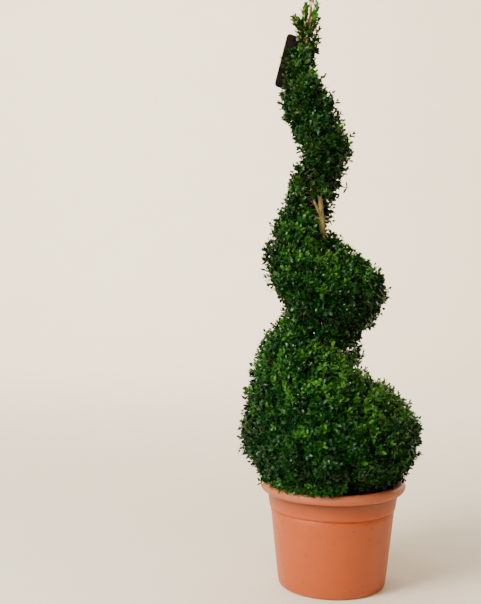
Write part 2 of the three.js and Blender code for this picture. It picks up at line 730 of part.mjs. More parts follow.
function compostGeometry() {
  const edge = SOIL_TOP - SOIL_EDGE_DROP;
  const slope = lerp(SOIL_CROWN_RADIUS, potInnerRadius(edge), SOIL_SHOULDER);
  const profile = [
    new THREE.Vector2(0, FLOOR + GAP),
    new THREE.Vector2(potInnerRadius(FLOOR) - GAP, FLOOR + GAP),
    new THREE.Vector2(potInnerRadius(edge) - GAP, edge),
    new THREE.Vector2(slope, SOIL_TOP - SOIL_EDGE_DROP * SOIL_SHOULDER_DROP),
    new THREE.Vector2(SOIL_CROWN_RADIUS, SOIL_TOP),
    new THREE.Vector2(0, SOIL_TOP),
  ];
  const lathe = new THREE.LatheGeometry(profile, POT_SIDES);
  return geometryOf(solidOf(lathe.rotateX(Math.PI / 2)));
}

// The label's card, with round corners, in its place
function cardGeometry(place) {
  const [x, z] = [LABEL_WIDTH / 2 - LABEL_CORNER, LABEL_LENGTH / 2 - LABEL_CORNER];
  const quarter = Math.PI / 2;
  const outline = new THREE.Shape();
  [[x, z], [-x, z], [-x, -z], [x, -z]].forEach(([u, v], i) => {
    outline.absarc(u, v, LABEL_CORNER, i * quarter, (i + 1) * quarter, false);
  });
  const how = { depth: LABEL_THICKNESS, bevelEnabled: false, curveSegments: LABEL_CORNER_STEPS };
  const card = new THREE.ExtrudeGeometry(outline, how);
  card.translate(0, 0, -LABEL_THICKNESS / 2);
  card.rotateX(Math.PI / 2);
  return card.applyMatrix4(place);
}

// Where the card hangs, and the room that it needs
function labelPlace() {
  const place = new THREE.Matrix4().makeRotationZ(radians(-LABEL_TURN));
  return place.multiply(new THREE.Matrix4().makeRotationY(radians(LABEL_LEAN))).setPosition(LABEL_MIDDLE);
}

function labelRoom() {
  const sides = [LABEL_WIDTH, LABEL_THICKNESS, LABEL_LENGTH].map((side) => side + 2 * LABEL_CLEARANCE);
  return new THREE.BoxGeometry(...sides).applyMatrix4(labelPlace());
}

// The middle of the ring round the stem, and the place on the card where the band ends
function strapEnds() {
  const top = new THREE.Vector3(0, 0, LABEL_LENGTH / 2 - STRAP_WIDTH);
  return [trunkAxis(STRAP_Z), top.applyMatrix4(labelPlace())];
}

function strapRoom() {
  return limb(...strapEnds(), STRAP_WIDTH, STRAP_WIDTH, LIMB_SIDES);
}

// The label: the card, a short band and a ring round the stem, in one piece
function labelGeometry() {
  const place = labelPlace();
  const [stem, top] = strapEnds();
  const inner = trunkRadius(STRAP_Z - STRAP_WIDTH / 2) + STRAP_SLACK;
  const outer = inner + STRAP_WALL;
  const half = STRAP_WIDTH / 2;
  const section = [[inner, -half], [outer, -half], [outer, half], [inner, half], [inner, -half]];
  const profile = section.map((pair) => new THREE.Vector2(...pair));
  const ring = new THREE.LatheGeometry(profile, STRAP_SIDES);
  ring.rotateX(Math.PI / 2);
  ring.translate(stem.x, stem.y, stem.z);

  const toward = top.clone().sub(stem).setZ(0).normalize();
  const start = stem.clone().addScaledVector(toward, inner + STRAP_WALL / 2);
  const along = top.clone().sub(start).normalize();
  const side = UP.clone().cross(along).normalize();
  const length = start.distanceTo(top);
  const band = new THREE.BoxGeometry(length, STRAP_WALL, STRAP_WIDTH);
  band.translate(length / 2, 0, 0);
  const turned = new THREE.Matrix4().makeBasis(along, side, along.clone().cross(side));
  band.applyMatrix4(turned.setPosition(start));

  const corner = new THREE.Vector3(LABEL_WIDTH, LABEL_THICKNESS, LABEL_LENGTH).divideScalar(2);
  const room = new THREE.Box3(corner.clone().negate(), corner);
  const flat = place.clone().invert();
  obstacles.push((point) => room.distanceToPoint(point.clone().applyMatrix4(flat)) - LABEL_CLEARANCE);
  obstacles.push((point) => distanceToLine(point, stem, top) - outer);
  return geometryOf(solidOf(cardGeometry(place)).add(solidOf(band)).add(solidOf(ring)));
}

function node(name, geometry, finish) {
  const mesh = new THREE.Mesh(geometry, new THREE.MeshStandardMaterial(finish));
  mesh.name = name;
  return mesh;
}

const topiary = new THREE.Group();
topiary.add(node("pot", potGeometry(), FINISH.pot));
topiary.add(node("compost", compostGeometry(), FINISH.compost));
topiary.add(node("trunk", trunkSkin(0), FINISH.bark));
topiary.add(node("label", labelGeometry(), FINISH.label));
for (const row of BOUGHS) topiary.add(node(row.name, boughGeometry(row), FINISH.bark));
MASSES.forEach((mass, i) => {
  topiary.add(node(mass.name, massGeometry(mass, FIRST_SEED + i), FINISH.foliage));
});
topiary.add(node(SPIRE.name, spireGeometry(seeded(SPIRE_SEED)), FINISH.foliage));

export default topiary;
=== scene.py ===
# A clipped box spiral in its moulded pot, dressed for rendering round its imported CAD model.
# Metres, +Z up. The origin is the centre of the pot's flat underside, and -Y is the front.
# The plant grows by one rule: a helical groove with named stations divides it into masses, boughs
# leave the trunk for each mass, twigs leave the boughs, and paired leaves sit on the twigs.

import functools
import math

import bmesh
import bpy
import numpy as np
from mathutils import Matrix, Vector


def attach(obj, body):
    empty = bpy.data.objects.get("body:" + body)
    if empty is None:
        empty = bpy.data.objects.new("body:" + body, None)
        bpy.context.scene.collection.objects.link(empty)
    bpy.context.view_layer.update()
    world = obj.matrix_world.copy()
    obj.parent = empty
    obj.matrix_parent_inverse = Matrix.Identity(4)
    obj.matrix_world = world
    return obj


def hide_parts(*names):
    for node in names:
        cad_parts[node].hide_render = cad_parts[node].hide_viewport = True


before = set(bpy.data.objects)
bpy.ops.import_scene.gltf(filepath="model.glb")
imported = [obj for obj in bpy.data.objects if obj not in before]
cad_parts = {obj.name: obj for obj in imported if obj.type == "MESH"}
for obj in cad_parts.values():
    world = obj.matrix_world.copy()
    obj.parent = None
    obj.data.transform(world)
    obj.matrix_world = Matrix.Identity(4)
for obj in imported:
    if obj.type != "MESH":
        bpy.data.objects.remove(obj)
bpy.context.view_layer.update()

bl_info = {
    "name": "Spiral box topiary",
    "version": (1, 0, 0),
    "blender": (4, 5, 0),
    "location": "View3D > Sidebar > Topiary",
    "description": "Builds a clipped box spiral with its pot, compost, trunk, foliage and label",
    "category": "Object",
}

# The pot. The roll's arc is in degrees from straight out.
POT_HEIGHT = 0.293
RIM_RADIUS = 0.200
ROLL_RADIUS = 0.014
ROLL_ARC = (-105, 115)
ROLL_NECK = 0.250
FOOT_RADIUS = 0.148
FOOT_ROUNDING = 0.009
FOOT_INSET = 0.012
WALL_START = 0.030
BAND_BOTTOM = 0.218
BAND_BOTTOM_RADIUS = 0.171
BAND_STEP = 0.002
BAND_PROUD = 0.0025
BAND_TOP_RADIUS = 0.178
BAND_GROOVE = 0.0022
WALL = 0.004
FLOOR = 0.005
FLOOR_ROUNDING = 0.006
DRAIN_HOLES = 6
DRAIN_RADIUS = 0.008
DRAIN_CIRCLE = 0.100

# Where the pot's marks begin and are full: in the noise of the scuffs, and as heights for the painted
# shade under the roll, the painted highlight over it and the splashes
SCUFF_MARKS = (0.60, 0.67)
ROLL_SHADE_Z = (0.225, 0.264)
ROLL_SHADE_END = 0.2685
ROLL_HIGHLIGHT_Z = (0.266, 0.288)
SPLASH_Z = (0.045, 0.0)

# The compost. Its lumps have a height, a width and a seed. Its chips are bits of bark that lie nearly flat.
SOIL_TOP = 0.270
SOIL_EDGE_DROP = 0.006
SOIL_CROWN_RADIUS = 0.060
SOIL_SETTLED = 0.003
SOIL_CLEARANCE = 0.0006
SOIL_FLAT_EDGE = 0.004
SOIL_FOOT_ROOM = 0.001
SOIL_FOOT_LIFT = 0.0003
SOIL_SIDES = 120
SOIL_RINGS = 42
SOIL_CENTRE = 0.002
SOIL_SEED = 5
SOIL_LUMPS = ((0.0026, 0.030, 3), (0.0016, 0.011, 4))
CRUMB_HEIGHT = 0.0009
CHIPS = 420
CHIP_LENGTHS = (0.004, 0.012)
CHIP_GIRTHS = (0.12, 0.26)
CHIP_TAPER = (0.5, 1.0, 0.3)
CHIP_STEEPNESS = 0.25
CHIP_FURROW = 0.003

# The trunk's axis from the compost to the tip, as columns of heights and places
TRUNK_Z = (0.270, 0.600, 1.005, 1.250, 1.450, 1.515, 1.575)
TRUNK_X = (0.0, -0.015, -0.037, -0.066, -0.088, -0.085, -0.070)
TRUNK_Y = (0.0, 0.006, -0.008, 0.002, -0.003, 0.0, 0.002)
TRUNK_FOOT_RADIUS = 0.014
TRUNK_TIP_RADIUS = 0.0018
TRUNK_TAPER_POWER = 0.85
TRUNK_POINT = 0.3
ROOT_FLARE = 0.011
ROOT_FLARE_HEIGHT = 0.022
TRUNK_RING_GAP = 0.003
TRUNK_SIDES = 26
TRUNK_RELIEF = 0.045
TRUNK_FURROW = 0.0022
TRUNK_SEED = 21

# The bark's ridges, drawn out along the limb, and its knots
RIDGE_WIDTH = 0.012
FINE_RIDGE_WIDTH = 0.005
FINE_RIDGE_SHARE = 0.6
RIDGE_STRETCH = 0.2
KNOT_GAP = 0.05
KNOT_LEVEL = 0.8
KNOT_SWELL = 0.5

# The helical groove's stations, as columns. A whole turn is on the right side, and a half turn on
# the left. FLOOR is the groove's radius and FLAT half the height of its flat floor. The foliage above
# is widest at SHARE of the way to the next groove, where its radius is CREST.
GROOVE_TURN = (-0.5, 0.0, 0.5, 1.0, 1.25, 1.5, 2.0, 2.5, 3.0)
GROOVE_Z = (0.480, 0.648, 0.778, 1.030, 1.018, 1.200, 1.440, 1.530, 1.600)
GROOVE_FLAT = (0.0, 0.045, 0.0, 0.050, 0.044, 0.028, 0.0, 0.0, 0.0)
GROOVE_FLOOR = (0.243, 0.092, 0.112, 0.012, 0.014, 0.037, 0.015, 0.020, 0.008)
GROOVE_SHARE = (0.02, 0.5, 0.27, 0.48, 0.45, 0.46, 0.3, 0.4, 0.5)
GROOVE_CREST = (0.244, 0.174, 0.167, 0.095, 0.090, 0.080, 0.034, 0.040, 0.008)
UNDERSIDE_POWER = 2.4
TOPSIDE_POWER = 1.6
THINNEST = 0.008

# The wide base under the first groove
BASE_BOTTOM = 0.296
BASE_CREST_Z = 0.428
BASE_CREST = 0.250
BASE_TUCK = 0.185
BASE_TOPSIDE_POWER = 2.0
BASE_UNDER_RADIUS = 0.070
BASE_UNDER_SHARE = 0.2
BASE_UNDER_RISE = 0.2

# The masses: name, form, first turn and last turn. The spire is the one that ends above TIP_TURN.
MASSES = (
    ("base_foliage_back", "base", -0.5, -0.25),
    ("base_foliage_right", "base", -0.25, 0.0),
    ("base_foliage_front", "base", 0.0, 0.25),
    ("base_foliage_left", "base", 0.25, 0.5),
    ("first_turn_foliage_back", "ramp", -0.5, 0.0),
    ("first_turn_foliage_front", "ramp", 0.0, 0.5),
    ("second_turn_foliage_back", "ramp", 0.5, 1.0),
    ("second_turn_foliage_front", "ramp", 1.0, 1.5),
    ("third_turn_foliage_back", "ramp", 1.5, 1.72),
    ("spire_foliage", "ramp", 1.72, 2.96),
)
TIP_TURN = 2.5
FIRST_SEED = 100

# The boughs that show: name, height, turn, reach, rise and radius
BOUGHS = (
    ("foot_bough", 0.302, 0.14, 0.034, 0.030, 0.006),
    ("fork_bough", 1.012, 1.36, 0.040, 0.046, 0.004),
    ("low_fork_bough", 1.006, 0.55, 0.020, 0.009, 0.004),
)
BOUGH_SAG = 0.1
BOUGH_TIP = 0.75
BOUGH_RINGS = 18
BOUGH_SIDES = 14
BOUGH_RELIEF = 0.05
BOUGH_SEED = 31

# The side boughs inside the masses. They end SIDE_DEPTH under the leaves, but not nearer the trunk than
# SIDE_REACH of the way out. They leave the trunk lower, by SIDE_CLIMB of their reach and SIDE_DROP, but
# SIDE_LOWEST above the compost.
SIDE_DEPTH = 0.065
SIDE_REACH = 0.35
SIDE_CLIMB = 0.5
SIDE_DROP = 0.01
SIDE_LOWEST = 0.012
SIDE_SAG = 0.14
SIDE_TIP = 0.42
SIDE_RADIUS = 0.0016
SIDE_GIRTH = 0.011
SIDE_STEPS = 9

# The twigs, which leave the nearest joint of a side bough or of the stem. Their straight ends are no
# longer than TWIG_SHARE of the way to the stem.
TWIG_LENGTH = 0.042
TWIG_SHARE = 0.8
TWIG_RADII = (0.0011, 0.0009, 0.0007, 0.0004)
TWIG_BEND = 0.48
TWIG_FURROW = 0.002
TWIG_BARKS = (("young green twig", "#4C5424", "#2A3414"), ("old twig bark", "#5C4A30", "#2E2416"),
              ("khaki shoot bark", "#A89A5C", "#6E6434"))
STEM_STEP = 0.015

# The sprays of leaves on the clipped surface: how deep they end, in hollows and in clumps, the few that
# stand out, and how they lean
OUTER_DEPTH = 0.0085
INNER_DEPTH = 0.036
DEPTH_SPREAD = 0.014
DEPTH_POWER = 1.6
HOLLOW_WIDTH = 0.07
HOLLOW_DEPTH = 0.006
HOLLOW_SEED = 5
CLUMP_WIDTH = 0.034
CLUMP_RELIEF = 0.0055
CLUMP_SEED = 6
STRAY_SHARE = 0.08
STRAY_REACH = (0.004, 0.014)
SPRAY_SHIFT = 0.004
SPRAY_LEAN = 0.33
SPRAY_LIFT = 0.45
STEM_CLEARANCE = 0.008

# How much light a spray stands in, by the way it faces, by its height and by chance. It picks the tint of
# the spray's leaves, so the tints partly show the leaves' age and partly are painted light and shade:
# paler on upward faces, right shoulders and clumps, darker on undersides, the left and the upper turns.
# Where two figures stand together, they are the middle and the spread.
UPWARD_LIGHT = {"base": 1.15, "ramp": 0.75}
LEFT_SHADE = 0.4
SHOULDER_LIGHT = 1.0
UPPER_SHADE = 0.15
UPPER_Z = (0.75, 1.25)
PATCH_WIDTH = 0.085
PATCH_LIGHT = 0.42
PATCH_SEED = 9
CLUMP_LIGHT = 0.38
LIGHT_SPREAD = 0.24
SKIRT_LIGHT = (0.25, 0.4)
SHOOT_LIGHT = (-0.05, 0.4)
TOP_LIGHT = 1.2
TOP_LIGHT_Z = (1.53, 1.56)

# The upright shoots of the tip, above the clipped part of the spire: foot height, turn, reach and rise
CLIPPED_TOP = 1.468
TIP_SHOOTS = (
    (1.436, 0.040, 0.038, 0.052), (1.444, 0.940, 0.034, 0.058), (1.448, 0.220, 0.022, 0.052),
    (1.452, 0.640, 0.024, 0.062), (1.458, 0.020, 0.038, 0.056), (1.466, 0.120, 0.030, 0.060),
    (1.474, 0.860, 0.030, 0.060), (1.482, 0.980, 0.036, 0.058), (1.484, 0.440, 0.024, 0.056),
    (1.492, 0.080, 0.034, 0.060), (1.500, 0.530, 0.036, 0.040), (1.502, 0.920, 0.034, 0.062),
    (1.506, 0.300, 0.018, 0.060), (1.508, 0.470, 0.034, 0.044), (1.516, 0.720, 0.010, 0.066),
    (1.522, 0.050, 0.030, 0.056), (1.524, 0.560, 0.034, 0.026), (1.536, 0.960, 0.022, 0.052),
    (1.548, 0.150, 0.012, 0.048), (1.556, 0.700, 0.006, 0.044), (1.470, 0.560, 0.020, 0.058),
    (1.478, 0.500, 0.012, 0.060), (1.488, 0.020, 0.020, 0.060), (1.460, 0.460, 0.018, 0.060),
    (1.500, 0.250, 0.010, 0.075), (1.505, 0.750, 0.010, 0.075), (1.515, 0.050, 0.016, 0.070),
)
SHOOT_SAG = 0.2
SHOOT_STEPS = 6
SHOOT_RADIUS = 0.0030
SHOOT_TIP = 0.4
SHOOT_NODE_GAP = 0.0082
SHOOT_LEAN = 0.12
BARE_STEM_RADIUS = 0.010
BARE_STEM_Z = (1.520, 1.592)

# The sprays that hang over the rim, and those in front of the open stem: form, first turn, last turn,
# radius from the trunk's axis, and height
SKIRT_ROWS = (
    ("base", 0.235, 0.50, 0.165, 0.300), ("base", 0.235, 0.50, 0.176, 0.301),
    ("base", 0.235, 0.50, 0.186, 0.304), ("base", 0.235, 0.50, 0.196, 0.308),
    ("base", 0.235, 0.50, 0.203, 0.316), ("base", 0.250, 0.46, 0.207, 0.302),
    ("base", 0.290, 0.39, 0.206, 0.294), ("base", 0.060, 0.19, 0.192, 0.332),
    ("base", 0.060, 0.19, 0.200, 0.341), ("ramp", 0.08, 0.42, 0.026, 0.948),
    ("ramp", 0.08, 0.42, 0.036, 0.940), ("ramp", 0.08, 0.42, 0.046, 0.936),
    ("ramp", 1.13, 1.37, 0.028, 1.082), ("ramp", 1.13, 1.37, 0.038, 1.078),
)
SKIRT_SPACING = 0.009
SKIRT_DEPTHS = (-0.006, 0.006)
SKIRT_HEIGHTS = (-0.003, 0.004)
SKIRT_LEAN = 0.35
SKIRT_LIFT = 0.1

# Where stems or sky show through the leaves: turn, height, half the width, half the height, and the
# share of sprays left out
THIN_PLACES = (
    (0.228, 0.345, 0.024, 0.042, 0.8),
    (0.175, 0.322, 0.080, 0.020, 0.75),
    (0.520, 0.880, 0.030, 0.050, 0.35),
    (0.000, 0.640, 0.070, 0.060, 0.5),
    (1.750, 1.120, 0.040, 0.070, 0.4),
)

# Where the clipped surface stands out or lies back from the even outline: turn, height, half the
# width, half the height, and how far out
UNEVEN_PLACES = (
    (0.0, 1.205, 0.060, 0.045, 0.014),
    (0.0, 1.062, 0.040, 0.014, -0.014),
    (0.0, 0.895, 0.070, 0.042, -0.009),
    (0.0, 0.632, 0.080, 0.014, 0.012),
    (0.0, 0.590, 0.140, 0.012, -0.008),
    (0.0, 0.536, 0.130, 0.016, -0.004),
    (0.0, 0.462, 0.120, 0.022, -0.006),
    (0.0, 0.312, 0.120, 0.010, 0.010),
    (0.5, 1.068, 0.050, 0.034, -0.022),
    (0.5, 0.740, 0.070, 0.020, -0.010),
    (0.5, 0.552, 0.100, 0.014, -0.011),
    (0.5, 0.372, 0.110, 0.022, 0.012),
)

# The leaf pairs of a spray, from its tip back: the angle they spread by and their size. Then their gaps
# and how far chance turns, spreads, scales and tilts them.
PAIR_SPREAD = np.radians((24, 42, 56, 66))
PAIR_SCALE = np.array((0.58, 0.84, 1.0, 1.0))
PAIR_GAP = 0.0095
PAIR_GAPS = (0.8, 1.2)
PAIR_TWIST = 0.25
FIRST_PAIR_BACK = 0.003
SPREAD_CHANCE = 0.16
LEAF_SIZES = (0.8, 1.12)
LEAF_TILT = 0.09
LEAF_FACE_LIFT = 0.3
OUTER_PAIRS = 4
INNER_PAIRS = 3
INNER_SCALE = 1.1
SHOOT_PAIRS = 2
SHOOT_SCALE = 1.15

# The leaves' tints, each with its roughness. A spray's place among the TINT_LIGHTS gives the tint of its
# leaves and that of the pairs at its tip.
LEAF_ROUGHNESS = {"old": 0.42, "dark": 0.32, "blue": 0.27, "mid": 0.32, "fresh": 0.32, "new": 0.36,
                  "brown": 0.6, "olive": 0.34}
OLD, DARK, BLUE, MID, FRESH, NEW, BROWN, OLIVE = range(8)
TINT_LIGHTS = (-0.44, 0.03, 0.45, 0.82, 1.2)
BODY_TINTS = np.array((OLD, DARK, DARK, MID, MID, FRESH))
TIP_TINTS = np.array((OLD, DARK, MID, FRESH, FRESH, NEW))
TIP_PAIRS = 2
TIP_TINT_SHARE = 0.6
BLUE_SHARE = 0.3
OLIVE_SHARE = 0.4
OLIVE_TIP_SHARE = 0.6
BROWN_SHARE = 0.002

# The room that leaves and twigs keep from the stem, the rim and the label, and the radius inside the
# rim within which they may hang lower
LEAF_STEM_ROOM = 0.0015
LEAF_ROOM = 0.002
CARD_ROOM = 0.0025
INSIDE_RIM = 0.168

# The hanging label
LABEL_WIDTH = 0.056
LABEL_LENGTH = 0.148
LABEL_THICKNESS = 0.0016
LABEL_CORNER = 0.010
LABEL_BEVEL = 0.0004
LABEL_MIDDLE = (-0.127, 0.008, 1.428)
LABEL_TURN = -20
LABEL_LEAN = 15
STRAP_WIDTH = 0.009
STRAP_Z = 1.498
STRAP_WALL = 0.0018
STRAP_SLACK = 0.0013
STRAP_SAG = 0.0012
STRAP_STEPS = 32

# The pale sweep that the plant stands on, flat in the middle and curved up all round
SWEEP_RADIUS = 10.0
SWEEP_COVE = 5.0
SWEEP_HEIGHT = 7.0

# The soft light all round is brighter from the left and above, the SKY_SIDE: how far a direction points
# to that side, over SKY_RANGE, sets its strength, over SKY_STRENGTH
SKY_SIDE = (-0.8, -0.1, 0.6)
SKY_RANGE = (-0.5, 0.9)
SKY_STRENGTH = (0.01, 0.33)

# The lights: name, kind, place, target, size, the setting of their power, their share of it, and colour
MIDDLE = (0, 0, 0.75)
LIGHTS = (
    ("key", "AREA", (-2.5, -1.8, 2.4), MIDDLE, 1.4, "key_power", 1.0, "#FFF7EC"),
    ("top", "AREA", (-0.5, -0.6, 3.6), MIDDLE, 1.2, "key_power", 0.12, "#FFFCF4"),
    ("back fill", "AREA", (2.0, 2.6, 1.8), MIDDLE, 1.8, "key_power", 0.12, "#FFFAF0"),
    ("daylight", "SUN", (-1.6, -1.1, 3.4), MIDDLE, 0.5, "daylight", 1.0, "#FFFAF0"),
    ("wall wash", "AREA", (-1.0, 3.5, 6.0), (-1.5, 10.0, 1.5), 3.0, "wall_power", 1.0, "#FFF4E4"),
    ("far wash", "AREA", (-2.6, -2.6, 5.5), (-7.0, -7.0, 1.0), 3.0, "wall_power", 0.45, "#FFF4E4"),
)

# The camera, fitted to the pot's rim, band and foot in the photograph
LENS = 59.4
SENSOR_WIDTH = 36
CAMERA_PLACE = (-0.2576, -2.7192, 0.9724)
CAMERA_PITCH = 4.03
CAMERA_ROLL = 0.0054


def linear(code):
    """An sRGB hex colour as linear red, green and blue."""
    channels = [int(code[i:i + 2], 16) / 255 for i in (1, 3, 5)]
    return tuple(c / 12.92 if c <= 0.04045 else ((c + 0.055) / 1.055) ** 2.4 for c in channels)


# The growth rule

def part_way(value, start, end):
    """How far values are on the way from a start to an end, from 0 to 1."""
    return np.clip((value - start) / (end - start), 0, 1)


def place_among(values, value):
    """Where values lie among rising figures, counted in rows."""
    rows = np.asarray(values)
    index = np.clip(np.searchsorted(rows, value, side="right") - 1, 0, len(rows) - 2)
    return index + part_way(value, rows[index], rows[index + 1])


def smooth_between(values, place):
    """A smooth curve through a column of figures, at places counted in rows."""
    rows = np.asarray(values)
    last = len(rows) - 1
    index = np.clip(np.floor(place).astype(int), 0, last - 1)
    share = place - index
    a, b, c, d = (rows[np.clip(index + step, 0, last)] for step in (-1, 0, 1, 2))
    cubic = 3 * (b - c) + d - a
    square = 2 * a - 5 * b + 4 * c - d
    return b + 0.5 * share * (c - a + share * (square + share * cubic))


def trunk_axis(z):
    """The trunk's axis at heights."""
    place = place_among(TRUNK_Z, z)
    columns = (smooth_between(TRUNK_X, place), smooth_between(TRUNK_Y, place), z + 0 * place)
    return np.stack(columns, -1)


def trunk_radius(z):
    """The trunk's radius at heights, with its root flare."""
    share = part_way(z, SOIL_TOP, TRUNK_Z[-1])
    flare = ROOT_FLARE * np.exp(-np.maximum(z - SOIL_TOP, 0) / ROOT_FLARE_HEIGHT)
    return TRUNK_FOOT_RADIUS + (TRUNK_TIP_RADIUS - TRUNK_FOOT_RADIUS) * share ** TRUNK_TAPER_POWER + flare


def groove(turn):
    """The groove's height, half the height of its floor, its floor, crest share and crest at turns."""
    place = place_among(GROOVE_TURN, turn)
    flat = np.maximum(smooth_between(GROOVE_FLAT, place), 0)
    floor = np.maximum(smooth_between(GROOVE_FLOOR, place), THINNEST)
    crest = np.maximum(smooth_between(GROOVE_CREST, place), THINNEST)
    return smooth_between(GROOVE_Z, place), flat, floor, smooth_between(GROOVE_SHARE, place), crest


def bulge(z, low, crest, high, topside_power=TOPSIDE_POWER):
    """The radius of a bulge that runs from one floor over a crest to the next. Each is (z, radius)."""
    under = z < crest[0]
    edge_z = np.where(under, low[0], high[0])
    edge_radius = np.where(under, low[1], high[1])
    power = np.where(under, UNDERSIDE_POWER, topside_power)
    off = np.clip(np.abs(z - crest[0]) / np.maximum(np.abs(edge_z - crest[0]), 0.001), 0, 1)
    return edge_radius + (crest[1] - edge_radius) * (1 - off ** power)


def limits(form, turn):
    """The heights between which a form lies at turns."""
    if form == "base":
        return np.full_like(turn, BASE_BOTTOM), groove(turn)[0]
    return groove(turn)[0], groove(turn + 1)[0]


def outline(form, turn, z):
    """The radius of a form's clipped outline at turns and heights."""
    bottom, top = limits(form, turn)
    if form == "base":
        crest = (BASE_CREST_Z, BASE_CREST)
        drop = np.clip((BASE_CREST_Z - z) / BASE_TUCK, 0, 1)
        tucked = BASE_CREST * np.sqrt(1 - drop ** 2)
        _, flat, floor, _, _ = groove(turn)
        above = bulge(z, crest, crest, (top - flat, floor), BASE_TOPSIDE_POWER)
        return np.where(z < BASE_CREST_Z, tucked, above)
    _, flat, floor, share, crest = groove(turn)
    _, next_flat, next_floor, _, _ = groove(turn + 1)
    widest = bottom + (top - bottom) * share
    return bulge(z, (bottom + flat, floor), (widest, crest), (top - next_flat, next_floor))


def ring_points(radius, angle, z):
    """Points at radii, angles and heights round the Z axis."""
    return np.stack((radius * np.cos(angle), radius * np.sin(angle), z), -1)


def on_outline(form, turn, share):
    """Points of a form's clipped outline, at turns and at shares of the way from its foot to its top."""
    bottom, top = limits(form, turn)
    under = BASE_UNDER_SHARE if form == "base" else 0
    rise = part_way(share, under, 1)
    z = bottom + (top - bottom) * rise
    radius = outline(form, turn, z)
    if form == "base":
        tuck = part_way(share, 0, under)
        hidden = BASE_UNDER_RADIUS + (radius - BASE_UNDER_RADIUS) * tuck
        z = np.where(tuck < 1, z + (radius - hidden) * BASE_UNDER_RISE, z)
        radius = np.where(tuck < 1, hidden, radius)
    return trunk_axis(z) + ring_points(radius, -turn * 2 * np.pi, 0 * radius)


def unit(vectors):
    """Vectors scaled to length one."""
    return vectors / np.maximum(np.linalg.norm(vectors, axis=-1, keepdims=True), 1e-9)


def outward(form, turn, share):
    """The outline's outward directions."""
    step = 0.004
    along = on_outline(form, turn + step, share) - on_outline(form, turn - step, share)
    high, low = np.minimum(share + step, 1), np.maximum(share - step, 0)
    upward = on_outline(form, turn, high) - on_outline(form, turn, low)
    return unit(np.cross(upward, along))


def from_stem(points):
    """How far points lie from the trunk's axis at their own heights."""
    return np.linalg.norm((points - trunk_axis(points[..., 2]))[..., :2], axis=-1)


def even_fractions(count, base):
    """A row of evenly spread fractions, in which no two lie close."""
    result = np.zeros(count)
    index = np.arange(1, count + 1)
    weight = 1 / base
    while index.any():
        result += weight * (index % base)
        index = index // base
        weight /= base
    return result


def spread_over(form, start, end, spacing):
    """Evenly spaced places over an outline, as turns and shares."""
    turns = np.linspace(start, end, 60)
    shares = np.linspace(0, 1, 90)
    points = on_outline(form, *np.meshgrid(turns, shares, indexing="ij"))
    across = points[1:, :-1] - points[:-1, :-1]
    upward = points[:-1, 1:] - points[:-1, :-1]
    area = np.linalg.norm(np.cross(across, upward), axis=-1)
    count = max(4, round(area.sum() / spacing ** 2))
    by_turn = np.concatenate(([0], np.cumsum(area.sum(1)))) / area.sum()
    turn = np.interp(even_fractions(count, 2), by_turn, turns)
    cell = np.clip(np.searchsorted(turns, turn) - 1, 0, len(area) - 1)
    level = even_fractions(count, 3)
    share = np.empty(count)
    for row, row_area in enumerate(area):
        by_share = np.concatenate(([0], np.cumsum(row_area))) / row_area.sum()
        share[cell == row] = np.interp(level[cell == row], by_share, shares)
    return turn, share


def patches(points, wavelength, seed, waves=7):
    """A smooth random pattern over points, from about -1 to 1: waves that cross each other."""
    random = np.random.default_rng(seed)
    total = np.zeros(len(points))
    for _ in range(waves):
        direction = unit(random.normal(size=3))
        pitch = wavelength * random.uniform(0.7, 1.4)
        total += np.sin(points @ direction * 2 * np.pi / pitch + random.uniform(0, 2 * np.pi))
    return total * math.sqrt(2 / waves) * 0.7


def at_turn(z, turn, radius):
    """A point at a height, a turn and a radius from the trunk's axis."""
    return trunk_axis(np.float64(z)) + ring_points(radius, -turn * 2 * math.pi, 0)


def bowed(start, end, sag, steps):
    """Paths from starts to ends that hang below the straight line by about half the sag."""
    share = np.linspace(0, 1, steps)[:, None]
    middle = (start + end) / 2 - np.asarray(sag)[..., None] * (0, 0, 1)
    start, middle, end = (point[..., None, :] for point in (start, middle, end))
    return (1 - share) ** 2 * start + 2 * share * (1 - share) * middle + share ** 2 * end


def shoot_path(z, turn, reach, rise, sag, steps):
    """A bough's or shoot's axis, which leaves the trunk low and then turns up."""
    start = trunk_axis(np.float64(z))
    return bowed(start, at_turn(z, turn, reach) + np.array((0, 0, rise)), sag, steps)


# Meshes

def mesh_piece(name, points, faces, materials, slot, nodes, face_materials=None):
    """A smooth-shaded piece that rides on the CAD body and stands for CAD nodes."""
    faces = np.asarray(faces, np.int32)
    points = np.asarray(points, np.float32)
    mesh = bpy.data.meshes.new(name)
    mesh.vertices.add(len(points))
    mesh.vertices.foreach_set("co", points.ravel())
    mesh.loops.add(faces.size)
    mesh.loops.foreach_set("vertex_index", faces.ravel())
    mesh.polygons.add(len(faces))
    mesh.polygons.foreach_set("loop_start", np.arange(0, faces.size, faces.shape[1], dtype=np.int32))
    if face_materials is not None:
        mesh.polygons.foreach_set("material_index", np.asarray(face_materials, np.int32))
    mesh.update(calc_edges=True)
    mesh.validate()
    return finish_piece(name, mesh, materials, nodes)


def finish_piece(name, mesh, materials, nodes):
    """Puts a mesh in the scene as a piece."""
    piece = bpy.data.objects.new(name, mesh)
    bpy.context.scene.collection.objects.link(piece)
    for material in materials:
        mesh.materials.append(material)
    mesh.shade_smooth()
    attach(piece, "root")
    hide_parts(*nodes)
    return piece


def ring_quads(rings, sides):
    """The four-sided faces between rings of points that follow each other."""
    ring, corner = np.meshgrid(np.arange(rings - 1), np.arange(sides), indexing="ij")
    first, after = ring * sides, (corner + 1) % sides
    quads = np.stack((first + corner, first + after, first + sides + after, first + sides + corner), -1)
    return quads.reshape(-1, 4)


